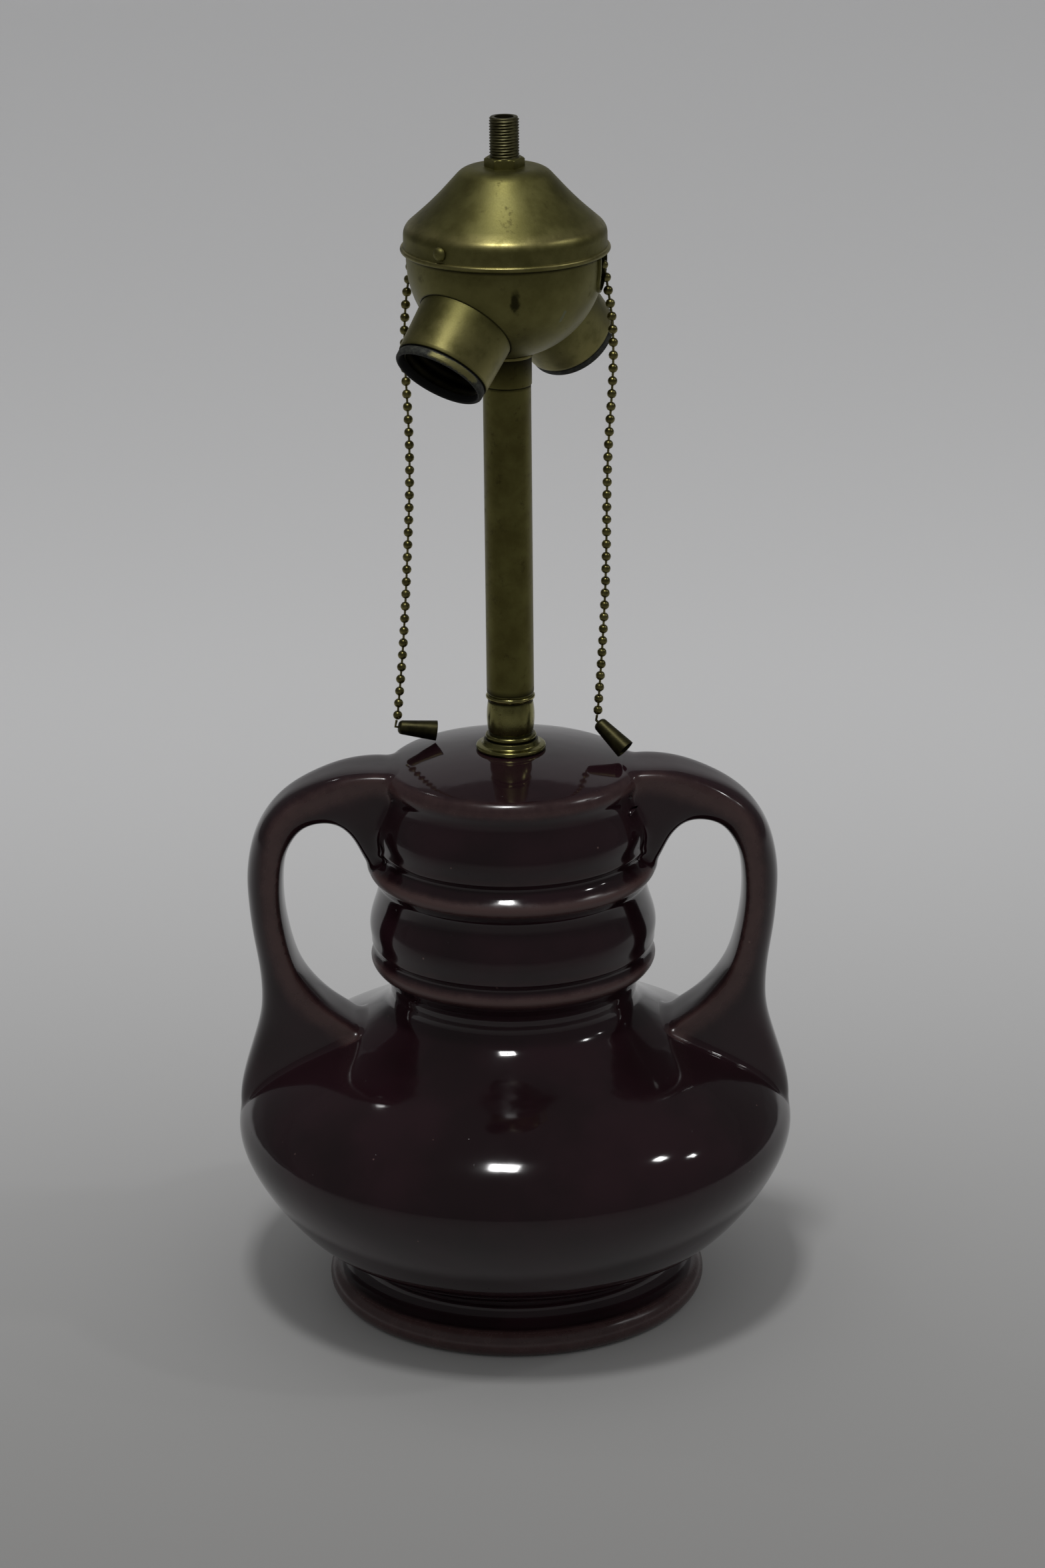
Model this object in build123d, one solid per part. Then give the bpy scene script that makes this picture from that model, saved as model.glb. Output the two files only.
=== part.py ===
"""Two-handled ceramic vase lamp base with a two-light pull-chain cluster.

Millimetres. +Z is up, +X is to the right hand of someone facing the lamp, and the
origin is the centre of the ring that the foot stands on.
"""
from build123d import *
import math
import os

# Vase: one slip-cast shell with a turned outline and two strap handles
VASE_HEIGHT = 198.0
VASE_WALL = 5.4
BELLY_RADIUS = 95.7
BELLY_LEVEL = 66.0
FOOT_RADIUS = 65.6
FOOT_HEIGHT = 9.4
FOOT_INSET = 4.1
FOOT_RECESS_RADIUS = 52.0
COVE_RADIUS = 55.8
COVE_LEVEL = 15.0
FLOOR_UNDERSIDE = 12.0
FLOOR_THICKNESS = 6.0
WAIST_RADIUS = 42.2
WAIST_LEVEL = 110.5
NECK_RADIUS = 49.1
SEAT_RADIUS = 13.0
ROD_HOLE_CLEARANCE = 0.7
CORD_NOTCH_WIDTH = 9.0
CORD_NOTCH_HEIGHT = 8.0

# Belly from cove to belly line: share of the way out, share of the way up
BELLY_SHARES = ((0.11, 0.08), (0.43, 0.235), (0.695, 0.44), (0.89, 0.665))
# Shoulder from belly line to waist: share of the way in, share of the way up
SHOULDER_SHARES = (
    (0.065, 0.164), (0.157, 0.294), (0.284, 0.413), (0.428, 0.517), (0.609, 0.625),
    (0.755, 0.719), (0.854, 0.796), (0.92, 0.856), (0.966, 0.908), (0.989, 0.953),
)

# Neck ridges and grooves: share of the way from waist to neck radius, share of the way up
NECK_SHARES = (
    (0.058, 0.046), (0.97, 0.157), (0.74, 0.199), (0.93, 0.227), (1.0, 0.289), (0.54, 0.455),
    (1.02, 0.527), (0.43, 0.599), (0.63, 0.63), (0.71, 0.691), (0.145, 0.849), (0.246, 0.886),
)
LOW_GROOVE_SHARES = NECK_SHARES[5]
RIM_SHARES = ((0.104, 0.92), (-0.27, 0.942))

# Handles: a strap that leaves the neck under the rim, turns down and spreads on the shoulder
HANDLE_SPAN = 90.7
HANDLE_TOP = 193.0
HANDLE_FOOT = 60.0
HANDLE_HALF_WIDTH = 12.0
HANDLE_INNER_SQUARENESS = 3.5
HANDLE_STEPS = 16
# One row per section: inner x, inner z, outer x, outer z, half width, squareness, ridge place
HANDLE_SHARES = (
    (0.428, 0.687, 0.428, 0.997, 1.08, 4.0, 0.88),
    (0.540, 0.738, 0.540, 1.000, 1.05, 4.0, 0.88),
    (0.583, 0.796, 0.642, 0.991, 1.02, 3.6, 0.80),
    (0.633, 0.840, 0.749, 0.965, 1.0, 3.2, 0.70),
    (0.701, 0.854, 0.845, 0.927, 1.0, 2.8, 0.65),
    (0.775, 0.840, 0.918, 0.878, 1.0, 2.5, 0.60),
    (0.827, 0.800, 0.969, 0.816, 1.0, 2.3, 0.45),
    (0.858, 0.738, 0.999, 0.723, 1.0, 2.1, 0.36),
    (0.865, 0.650, 1.000, 0.643, 1.0, 2.1, 0.34),
    (0.851, 0.563, 0.987, 0.548, 1.0, 2.1, 0.34),
    (0.821, 0.479, 0.965, 0.446, 1.0, 2.2, 0.30),
    (0.774, 0.417, 0.961, 0.351, 1.01, 2.4, 0.25),
    (0.706, 0.362, 0.982, 0.278, 1.03, 2.6, 0.15),
    (0.631, 0.322, 1.021, 0.191, 1.06, 2.8, 0.10),
    (0.535, 0.271, 1.050, 0.103, 1.10, 3.0, 0.10),
    (0.481, 0.169, 1.037, 0.001, 1.12, 3.0, 0.10),
)

# Lamp pipe and what clamps the vase on it
PIPE_RADIUS = 4.925
PIPE_BORE_RADIUS = 3.2
PIPE_STANDOUT = 1.5
PIPE_CLEARANCE = 0.3
THREAD_ROOT_RADIUS = 4.6
THREAD_CLEARANCE = 0.05
BASE_WASHER_RADIUS = 16.0
BASE_WASHER_THICKNESS = 1.5
LOCKNUT_ACROSS_FLATS = 11.5
LOCKNUT_THICKNESS = 3.1
BASE_NUT_ACROSS_FLATS = 14.3
BASE_NUT_THICKNESS = 4.0
BOWL_WASHER_RADIUS = 7.5
BOWL_WASHER_THICKNESS = 0.8

# Turned brass stack above the vase
FLANGE_RADIUS = 11.9
FLANGE_HEIGHT = 3.8
FLANGE_EDGE_HEIGHT = 1.5
FLANGE_STEP_RADIUS = 9.4
COLLAR_RADIUS = 7.6
COLLAR_BULGE = 0.5
COLLAR_FOOT_RADIUS = 8.7
COLLAR_FOOT_HEIGHT = 2.0
COLLAR_HEIGHT = 13.7
BEAD_RING_RADIUS = 8.35
BEAD_RING_HEIGHT = 2.8
RISER_RADIUS = 8.0
RISER_WALL = 0.9
RISER_HEIGHT = 106.6
SLEEVE_RADIUS = 8.3
SLEEVE_HEIGHT = 10.8
SLEEVE_FOOT_ROUND = 0.5
SLEEVE_LIP = 0.35
SLEEVE_LIP_HEIGHT = 1.2

# Cluster body: spun brass bowl and cap
SHEET = 0.8
BOWL_RADIUS = 32.5
BOWL_RIM_HEIGHT = 9.2
CAP_GAP = 0.15
CAP_BEAD_RADIUS = 0.925
CAP_BAND_HEIGHT = 7.0
CAP_LAP = 5.4
CAP_BAND_ROUND = 4.2
CAP_CONE_HEIGHT = 19.8
CAP_TOP_RADIUS = 13.4
CAP_EDGE_ROUND = 6.8

# Cap screws
SCREW_AZIMUTH = 231.0
SCREW_HEAD_RADIUS = 2.35
SCREW_HEAD_HEIGHT = 1.7
SCREW_SHANK_RADIUS = 1.45
SCREW_LENGTH = 4.2
SCREW_CLEARANCE = 0.1
SCREW_ABOVE_BEAD = 3.8

# Top nipple
NIPPLE_STANDOUT = 13.2

# Sockets: both axes pass through one point of the lamp axis
SOCKET_AZIMUTH = {"left": 230.0, "right": 50.0}
SOCKET_TILT = 46.0
SOCKET_PIVOT_RISE = 2.6
SHELL_START = 26.8
SHELL_LENGTH = 20.0
SHELL_ROOT_RADIUS = 16.5
SHELL_MOUTH_RADIUS = 15.9
SHELL_WALL = 0.55
SHELL_CLEARANCE = 0.2
LINER_CLEARANCE = 0.3
LINER_WALL = 0.95
LINER_RIM_STANDOUT = 3.5
LINER_RIM_RADIUS = 15.55
LINER_RIM_LENGTH = 3.1
SCREW_SHELL_RADIUS = 13.75
SCREW_SHELL_WALL = 0.45
SCREW_SHELL_SETBACK = 2.7
SOCKET_BODY_THICKNESS = 2.5
SOCKET_BODY_NECK_RADIUS = 9.0
SOCKET_BODY_NECK_LENGTH = 8.0
CONTACT_RADIUS = 3.6
CONTACT_HEIGHT = 2.0
CONTACT_CLEARANCE = 0.2

# Pull switches: a moulded block behind each slot with a flared guide for the chain
SLOT_AZIMUTH = {"left": 160.0, "right": -12.0}
SLOT_WIDTH = 9.6
SLOT_DEPTH = 18.5
SLOT_LIP = 0.8
SLOT_LIP_GAP = 0.4
GUIDE_RISE = 1.1
GUIDE_RADIUS = 2.9
GUIDE_MOUTH_RADIUS = 3.5
GUIDE_BORE_RADIUS = 1.95
GUIDE_LENGTH = 8.6
GUIDE_FLARE_LENGTH = 1.6
GUIDE_SETBACK = 4.1
SWITCH_LENGTH = 12.0
SWITCH_WIDTH = 10.4
SWITCH_HEIGHT = 10.8
GUIDE_SEATING = 3.2
BRACKET_WIDTH = 17.0
BRACKET_THICKNESS = 1.0
BRACKET_CLEARANCE = 0.1

# Pull chains: ball chain, drawn bead by bead
BEAD_RADIUS = 1.6
BEAD_PITCH = 4.354
BEAD_END_SHARE = 0.93
BEAD_SHOULDER_SHARE = 0.42
LINK_RADIUS = 0.45
BEAD_SIDES = 8
BEAD_GAP = 0.3
CHAIN_BEND_RADIUS = 4.6
CHAIN_STANDOFF = 1.9
LEAD_BEADS = 3
# Free stretch below the slot: share of the way down, share of the way across
CHAIN_SHARES = ((0.35, 0.09), (0.62, 0.3), (0.85, 0.66))

# Bells: each lies with the edge of its mouth on the crown of the vase
BELL_MOUTH_RADIUS = 3.5
BELL_END_RADIUS = 2.4
BELL_LENGTH = 13.3
BELL_WALL = 0.45
BELL_EYE_RADIUS = 0.8
BELL_CLEARANCE = {"left": 0.45, "right": 1.4}
BELL_CONTACT_RADIUS = {"left": 29.8, "right": 36.9}
BELL_CONTACT_AZIMUTH = {"left": 150.7, "right": -3.4}
BELL_HEADING = {"left": 5.7, "right": -31.7}
BELL_DROOP = {"left": 8.3, "right": 37.1}

CUT_OVERRUN = 1.0
SIDES = ("left", "right")

# Levels of the stack, each standing on the piece below it
FLOOR_TOP = FLOOR_UNDERSIDE + FLOOR_THICKNESS
BASE_WASHER_LEVEL = FLOOR_UNDERSIDE - BASE_WASHER_THICKNESS
BASE_NUT_LEVEL = BASE_WASHER_LEVEL - BASE_NUT_THICKNESS
PIPE_BOTTOM = BASE_NUT_LEVEL - PIPE_STANDOUT
COLLAR_LEVEL = VASE_HEIGHT + FLANGE_HEIGHT
BEAD_RING_LEVEL = COLLAR_LEVEL + COLLAR_HEIGHT
RISER_LEVEL = BEAD_RING_LEVEL + BEAD_RING_HEIGHT
SLEEVE_LEVEL = RISER_LEVEL + RISER_HEIGHT
BOWL_LEVEL = SLEEVE_LEVEL + SLEEVE_HEIGHT
BOWL_CENTRE = BOWL_LEVEL + math.sqrt(BOWL_RADIUS ** 2 - SLEEVE_RADIUS ** 2)
BOWL_RIM = BOWL_CENTRE + BOWL_RIM_HEIGHT
BOWL_WASHER_LEVEL = BOWL_CENTRE - math.sqrt((BOWL_RADIUS - SHEET) ** 2 - SLEEVE_RADIUS ** 2)
BOWL_NUT_LEVEL = BOWL_WASHER_LEVEL + BOWL_WASHER_THICKNESS
PIPE_TOP = BOWL_NUT_LEVEL + LOCKNUT_THICKNESS + PIPE_STANDOUT
CAP_BEAD_LEVEL = BOWL_RIM - CAP_LAP
CAP_BAND_TOP = CAP_BEAD_LEVEL + CAP_BAND_HEIGHT
CAP_TOP = CAP_BAND_TOP + CAP_CONE_HEIGHT
CAP_BORE_RADIUS = BOWL_RADIUS + CAP_GAP
CAP_OUTER_RADIUS = CAP_BORE_RADIUS + SHEET
INNER_NUT_LEVEL = CAP_TOP - SHEET - LOCKNUT_THICKNESS
NIPPLE_BOTTOM = INNER_NUT_LEVEL - PIPE_STANDOUT
NIPPLE_TOP = CAP_TOP + LOCKNUT_THICKNESS + NIPPLE_STANDOUT
SOCKET_PIVOT = BOWL_CENTRE + SOCKET_PIVOT_RISE
SHELL_END = SHELL_START + SHELL_LENGTH
LINER_END = SHELL_END + LINER_RIM_STANDOUT
SLOT_BOTTOM = BOWL_RIM - SLOT_DEPTH
GUIDE_LEVEL = BOWL_CENTRE + GUIDE_RISE
GUIDE_REACH = BOWL_RADIUS - GUIDE_SETBACK
SWITCH_REACH = GUIDE_REACH - GUIDE_LENGTH + GUIDE_SEATING


def at(radius, level):
    """Return the point of the XZ half plane at a radius and a level."""
    return Vector(radius, 0, level)


def along(azimuth, radius, level):
    """Return the point at a radius and a level on the half plane of an azimuth."""
    angle = math.radians(azimuth)
    return Vector(radius * math.cos(angle), radius * math.sin(angle), level)


def between(start, end, share):
    """Return the value that lies a share of the way from start to end."""
    return start + (end - start) * share


def turned(*curves):
    """Return the solid that a closed outline in the XZ half plane sweeps round the axis."""
    edges = [edge for curve in curves for edge in curve.edges()]
    return revolve(Face(Wire(edges)), Axis.Z)


def tube(outer, inner, bottom, top):
    """Return a plain tube on the lamp axis."""
    height = top - bottom
    low = (Align.CENTER, Align.CENTER, Align.MIN)
    body = Cylinder(outer, height, align=low)
    bore = Pos(0, 0, -CUT_OVERRUN) * Cylinder(inner, height + 2 * CUT_OVERRUN, align=low)
    return Pos(0, 0, bottom) * (body - bore)


def spun(points, rounds, sheet):
    """Return sheet metal turned from the outline of its outer face, drawn from low to high."""
    path = FilletPolyline(*points, radius=rounds) if rounds else Polyline(*points)
    edge = path.wire().offset_2d(sheet, kind=Kind.INTERSECTION, side=Side.RIGHT, closed=True)
    return revolve(Face(edge), Axis.Z)


def hex_nut(across_flats, thickness, bottom, thread_radius=PIPE_RADIUS):
    """Return a plain hexagon locknut for a thread of the given radius."""
    outline = RegularPolygon(across_flats / 2, 6, major_radius=False)
    hole = Circle(thread_radius + THREAD_CLEARANCE)
    return Pos(0, 0, bottom) * extrude(outline - hole, thickness)


def top_nipple():
    """Return the nipple, drawn at its thread root where the two locknuts grip it."""
    free_end = CAP_TOP + LOCKNUT_THICKNESS
    gripped = tube(THREAD_ROOT_RADIUS, PIPE_BORE_RADIUS, NIPPLE_BOTTOM, free_end)
    return gripped + tube(PIPE_RADIUS, PIPE_BORE_RADIUS, free_end, NIPPLE_TOP)


def crown_level(radius):
    """Return the level of the domed top of the vase at a radius."""
    rim = rim_point(RIM_SHARES[-1])
    share = (radius ** 2 - SEAT_RADIUS ** 2) / (rim.X ** 2 - SEAT_RADIUS ** 2)
    return between(VASE_HEIGHT, rim.Z, share)


def rim_point(shares):
    """Return a point of the neck or rim outline from its two shares."""
    radius = between(WAIST_RADIUS, NECK_RADIUS, shares[0])
    return at(radius, between(WAIST_LEVEL, VASE_HEIGHT, shares[1]))


def belly_curve(cove, belly, waist):
    """Return the curve from the cove over the belly line and the shoulder to the waist."""
    points = [cove]
    for out, up in BELLY_SHARES:
        points.append(at(between(cove.X, belly.X, out), between(cove.Z, belly.Z, up)))
    points.append(belly)
    for inward, up in SHOULDER_SHARES:
        points.append(at(between(belly.X, waist.X, inward), between(belly.Z, waist.Z, up)))
    points.append(waist)
    return Spline(*points)


def neck_curves(waist):
    """Return the ridges and grooves of the neck, each upright where it turns."""
    upright = Vector(0, 0, 1)
    curves = []
    start = waist
    for shares in NECK_SHARES:
        end = rim_point(shares)
        curves.append(Spline(start, end, tangents=(upright, upright)))
        start = end
    return curves


def vase_outline():
    """Return the closed half outline of the vase, solid inside."""
    foot_contact = at(FOOT_RADIUS - FOOT_INSET, 0)
    foot_edge = at(FOOT_RADIUS, FOOT_HEIGHT / 2)
    foot_top = at(FOOT_RADIUS - FOOT_INSET, FOOT_HEIGHT)
    cove = at(COVE_RADIUS, COVE_LEVEL)
    cove_depth = (COVE_LEVEL - FOOT_HEIGHT) / 2
    cove_middle = at(between(COVE_RADIUS, foot_top.X, 1 / 3), FOOT_HEIGHT + cove_depth / 2)
    waist = at(WAIST_RADIUS, WAIST_LEVEL)
    neck = neck_curves(waist)
    lip, rim = [rim_point(shares) for shares in RIM_SHARES]
    seat = at(SEAT_RADIUS, VASE_HEIGHT)
    middle = between(rim.X, SEAT_RADIUS, 1 / 2)
    return [
        Polyline(at(0, FLOOR_UNDERSIDE), at(FOOT_RECESS_RADIUS, FLOOR_UNDERSIDE),
                 at(FOOT_RECESS_RADIUS, 0), foot_contact),
        ThreePointArc(foot_contact, foot_edge, foot_top),
        ThreePointArc(foot_top, cove_middle, cove),
        belly_curve(cove, at(BELLY_RADIUS, BELLY_LEVEL), waist),
        *neck,
        ThreePointArc(neck[-1] @ 1, lip, rim),
        ThreePointArc(rim, at(middle, crown_level(middle)), seat),
        Polyline(seat, at(0, VASE_HEIGHT), at(0, FLOOR_UNDERSIDE)),
    ]


def vase_cavity():
    """Return the hollow of the vase, one wall inside the belly, the waist and the crown."""
    cove = at(COVE_RADIUS - VASE_WALL, FLOOR_TOP)
    belly = at(BELLY_RADIUS - VASE_WALL, BELLY_LEVEL)
    waist = at(WAIST_RADIUS - VASE_WALL, WAIST_LEVEL - VASE_WALL)
    groove = rim_point(LOW_GROOVE_SHARES)
    rim = rim_point(RIM_SHARES[-1])
    ceiling = VASE_HEIGHT - VASE_WALL
    corner = at(rim.X - VASE_WALL, rim.Z - VASE_WALL)
    neck = Spline(waist, at(groove.X - VASE_WALL, groove.Z), corner)
    return turned(
        Line(at(0, FLOOR_TOP), cove),
        belly_curve(cove, belly, waist),
        neck,
        Polyline(corner, at(SEAT_RADIUS, ceiling), at(0, ceiling), at(0, FLOOR_TOP)),
    )


def handle_section(row):
    """Return one closed section of the right handle from its row of shares."""
    inner_x, inner_z, outer_x, outer_z, width_share, squareness, ridge_share = row
    rise = HANDLE_TOP - HANDLE_FOOT
    inner = at(HANDLE_SPAN * inner_x, HANDLE_FOOT + rise * inner_z)
    outer = at(HANDLE_SPAN * outer_x, HANDLE_FOOT + rise * outer_z)
    thickness = (outer - inner).length
    outward = (outer - inner).normalized()
    ridge = thickness * ridge_share
    points = []
    for step in range(HANDLE_STEPS):
        angle = math.tau * step / HANDLE_STEPS
        sine, cosine = math.sin(angle), math.cos(angle)
        reach = abs(cosine) ** (2 / squareness) * (thickness - ridge)
        if step > HANDLE_STEPS / 4 and step < HANDLE_STEPS * 3 / 4:
            reach = -(abs(cosine) ** (2 / HANDLE_INNER_SQUARENESS)) * ridge
        width = 0
        if step % (HANDLE_STEPS / 2):
            width = HANDLE_HALF_WIDTH * width_share * math.copysign(abs(sine) ** (2 / squareness), sine)
        points.append(inner + outward * (ridge + reach) + Vector(0, width, 0))
    half = HANDLE_STEPS // 2
    sideways = Vector(0, 1, 0)
    near = Spline(*points[:half + 1], tangents=(sideways, -sideways))
    far = Spline(*points[half:], points[0], tangents=(-sideways, sideways))
    return Face(Wire([near, far]))


def cord_notch():
    """Return the arched cutter for the cord's way out at the back of the foot."""
    straight = CORD_NOTCH_HEIGHT - CORD_NOTCH_WIDTH / 2
    arch = Pos(0, straight) * Circle(CORD_NOTCH_WIDTH / 2)
    arch += Pos(0, straight / 2) * Rectangle(CORD_NOTCH_WIDTH, straight + 2 * CUT_OVERRUN)
    start = FOOT_RECESS_RADIUS - CORD_NOTCH_WIDTH
    length = FOOT_RADIUS - start + CUT_OVERRUN
    return extrude(Plane(origin=(0, start, 0), x_dir=(-1, 0, 0), z_dir=(0, 1, 0)) * arch, length)


def vase_body():
    """Return the vase with its handles, hollow, with a hole each end for the pipe."""
    body = turned(*vase_outline())
    handle = loft([handle_section(row) for row in HANDLE_SHARES])
    body = body + handle + mirror(handle, Plane.YZ)
    body -= vase_cavity()
    rod = Cylinder(PIPE_RADIUS + ROD_HOLE_CLEARANCE, 3 * VASE_HEIGHT)
    return body - rod - cord_notch()


def seating_flange():
    """Return the stepped flange that sits on the vase."""
    bore = PIPE_RADIUS + PIPE_CLEARANCE
    edge = at(FLANGE_RADIUS, VASE_HEIGHT + FLANGE_EDGE_HEIGHT)
    step = at(FLANGE_STEP_RADIUS, COLLAR_LEVEL)
    rise = FLANGE_HEIGHT - FLANGE_EDGE_HEIGHT
    run = FLANGE_RADIUS - FLANGE_STEP_RADIUS
    hollow = at(FLANGE_STEP_RADIUS + run / 4, VASE_HEIGHT + FLANGE_EDGE_HEIGHT + rise / 4)
    return turned(
        Polyline(step, at(bore, COLLAR_LEVEL), at(bore, VASE_HEIGHT),
                 at(FLANGE_RADIUS, VASE_HEIGHT), edge),
        ThreePointArc(edge, hollow, step),
    )


def turned_collar():
    """Return the collar: a rolled foot ring under a body that swells at mid height."""
    bore = PIPE_RADIUS + PIPE_CLEARANCE
    foot_top = COLLAR_LEVEL + COLLAR_FOOT_HEIGHT
    foot_low = at(COLLAR_FOOT_RADIUS - COLLAR_FOOT_HEIGHT / 2, COLLAR_LEVEL)
    foot_high = at(COLLAR_FOOT_RADIUS - COLLAR_FOOT_HEIGHT / 2, foot_top)
    foot_edge = at(COLLAR_FOOT_RADIUS, COLLAR_LEVEL + COLLAR_FOOT_HEIGHT / 2)
    body_low = at(COLLAR_RADIUS, foot_top)
    body_middle = at(COLLAR_RADIUS + COLLAR_BULGE, between(foot_top, BEAD_RING_LEVEL, 1 / 2))
    body_high = at(COLLAR_RADIUS, BEAD_RING_LEVEL)
    return turned(
        Polyline(body_high, at(bore, BEAD_RING_LEVEL), at(bore, COLLAR_LEVEL), foot_low),
        ThreePointArc(foot_low, foot_edge, foot_high),
        Line(foot_high, body_low),
        ThreePointArc(body_low, body_middle, body_high),
    )


def bead_ring():
    """Return the half-round ring between collar and riser."""
    bore = PIPE_RADIUS + PIPE_CLEARANCE
    edge = BEAD_RING_RADIUS - BEAD_RING_HEIGHT / 2
    low, high = at(edge, BEAD_RING_LEVEL), at(edge, RISER_LEVEL)
    middle = at(BEAD_RING_RADIUS, between(BEAD_RING_LEVEL, RISER_LEVEL, 1 / 2))
    return turned(
        Polyline(high, at(bore, RISER_LEVEL), at(bore, BEAD_RING_LEVEL), low),
        ThreePointArc(low, middle, high),
    )


def cluster_sleeve():
    """Return the sleeve that carries the bowl, round at its foot, with a lip at its top."""
    sleeve = tube(SLEEVE_RADIUS, PIPE_RADIUS + PIPE_CLEARANCE, SLEEVE_LEVEL, BOWL_LEVEL)
    foot_edge = sleeve.edges().group_by(Axis.Z)[0].sort_by(SortBy.RADIUS)[-1]
    sleeve = fillet(foot_edge, SLEEVE_FOOT_ROUND)
    lip_foot = BOWL_LEVEL - SLEEVE_LIP_HEIGHT
    return sleeve + tube(SLEEVE_RADIUS + SLEEVE_LIP, SLEEVE_RADIUS, lip_foot, BOWL_LEVEL)


def bowl_outline(growth):
    """Return the solid inside the bowl's outer face moved out by a growth."""
    flat = SLEEVE_RADIUS
    radius = BOWL_RADIUS + growth
    drop = math.sqrt(radius ** 2 - flat ** 2)
    low = at(flat, BOWL_CENTRE - drop)
    slant = radius * math.sin(math.radians(45))
    side = at(radius, BOWL_CENTRE)
    return turned(
        Line(at(0, BOWL_CENTRE - drop), low),
        ThreePointArc(low, at(slant, BOWL_CENTRE - slant), side),
        Polyline(side, at(radius, BOWL_RIM), at(0, BOWL_RIM), at(0, BOWL_CENTRE - drop)),
    )


def slot_cutter(azimuth, growth, top):
    """Return the upright U of a slot, grown all round, as a bar that runs outward."""
    half = SLOT_WIDTH / 2
    arch = Pos(SLOT_BOTTOM + half) * Circle(half + growth)
    length = top - SLOT_BOTTOM - half
    arch += Pos(SLOT_BOTTOM + half + length / 2) * Rectangle(length, SLOT_WIDTH + 2 * growth)
    outward = along(azimuth, 1, 0)
    plane = Plane(origin=(0, 0, 0), x_dir=(0, 0, 1), z_dir=outward)
    bar = extrude(plane * arch, BOWL_RADIUS + SLOT_LIP + CUT_OVERRUN)
    return bar - Cylinder(BOWL_RADIUS / 2, 3 * BOWL_RIM)


def socket_frame(side, distance):
    """Return the plane across a socket's axis at a distance, facing outward."""
    azimuth = math.radians(SOCKET_AZIMUTH[side])
    tilt = math.radians(SOCKET_TILT)
    level = math.cos(tilt)
    outward = Vector(level * math.cos(azimuth), level * math.sin(azimuth), -math.sin(tilt))
    across = Vector(-math.sin(azimuth), math.cos(azimuth), 0)
    origin = Vector(0, 0, SOCKET_PIVOT) + outward * distance
    return Plane(origin=origin, x_dir=across, z_dir=outward)


def cap_screw_holes(radius):
    """Return the pair of radial cutters for the cap screws."""
    level = CAP_BEAD_LEVEL + SCREW_ABOVE_BEAD
    outward = along(SCREW_AZIMUTH, 1, 0)
    plane = Plane(origin=(0, 0, level), z_dir=outward)
    return plane * Cylinder(radius, 3 * BOWL_RADIUS)


def cluster_bowl():
    """Return the bowl with its pipe hole, two socket holes and two lipped slots."""
    inner = bowl_outline(-SHEET)
    skin = bowl_outline(0) - inner
    grown = bowl_outline(SLOT_LIP) - inner
    lip_top = CAP_BEAD_LEVEL - CAP_BEAD_RADIUS - SLOT_LIP_GAP
    for side in SIDES:
        azimuth = SLOT_AZIMUTH[side]
        skin += grown & slot_cutter(azimuth, SLOT_LIP, lip_top)
    for side in SIDES:
        skin -= slot_cutter(SLOT_AZIMUTH[side], 0, BOWL_RIM + CUT_OVERRUN)
        hole = Cylinder(SHELL_ROOT_RADIUS + SHELL_CLEARANCE, BOWL_RADIUS,
                        align=(Align.CENTER, Align.CENTER, Align.MIN))
        skin -= socket_frame(side, SHELL_START) * hole
    skin -= cap_screw_holes(SCREW_SHANK_RADIUS + SCREW_CLEARANCE)
    return skin - Cylinder(PIPE_RADIUS + PIPE_CLEARANCE, 3 * BOWL_LEVEL)


def cluster_cap():
    """Return the cap: rolled bead, upright band, cone and small flat top."""
    bore = PIPE_RADIUS + THREAD_CLEARANCE
    cone_top = CAP_TOP_RADIUS
    points = (
        at(CAP_OUTER_RADIUS, CAP_BEAD_LEVEL),
        at(CAP_OUTER_RADIUS, CAP_BAND_TOP),
        at(cone_top, CAP_TOP),
        at(bore, CAP_TOP),
    )
    cap = spun(points, [CAP_BAND_ROUND + SHEET, CAP_EDGE_ROUND + SHEET], SHEET)
    bead_centre = at(CAP_BORE_RADIUS + CAP_BEAD_RADIUS, CAP_BEAD_LEVEL)
    cap += revolve(Plane(origin=bead_centre, z_dir=(0, -1, 0)) * Circle(CAP_BEAD_RADIUS), Axis.Z)
    return cap - cap_screw_holes(SCREW_SHANK_RADIUS + SCREW_CLEARANCE)


def cap_screws():
    """Return the two round-head screws that hold the cap."""
    head = Cylinder(SCREW_HEAD_RADIUS, SCREW_HEAD_HEIGHT,
                    align=(Align.CENTER, Align.CENTER, Align.MIN))
    head = fillet(head.edges().sort_by(Axis.Z)[-1], SCREW_HEAD_HEIGHT * 2 / 3)
    shank = Cylinder(SCREW_SHANK_RADIUS, SCREW_LENGTH, align=(Align.CENTER, Align.CENTER, Align.MAX))
    screw = head + shank
    screws = []
    for turn in (0, 180):
        azimuth = SCREW_AZIMUTH + turn
        origin = along(azimuth, CAP_OUTER_RADIUS, CAP_BEAD_LEVEL + SCREW_ABOVE_BEAD)
        screws.append(Plane(origin=origin, z_dir=along(azimuth, 1, 0)) * screw)
    return Compound(screws)


def socket_tube(outer_root, outer_mouth, wall, length):
    """Return a drawn shell along +Z, open at both ends, that tapers from root to mouth."""
    points = (at(outer_root, 0), at(outer_mouth, length))
    return spun(points, None, wall)


def socket_shell(side):
    """Return the brass shell of a socket."""
    shell = socket_tube(SHELL_ROOT_RADIUS, SHELL_MOUTH_RADIUS, SHELL_WALL, SHELL_LENGTH)
    return socket_frame(side, SHELL_START) * shell


def socket_liner(side):
    """Return the insulating liner, whose thicker rim stands out of the shell."""
    radius = SHELL_MOUTH_RADIUS - SHELL_WALL - LINER_CLEARANCE
    length = LINER_END - SHELL_START
    liner = tube(radius, radius - LINER_WALL, SOCKET_BODY_THICKNESS, length)
    liner += tube(LINER_RIM_RADIUS, radius, length - LINER_RIM_LENGTH, length)
    return socket_frame(side, SHELL_START) * liner


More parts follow.
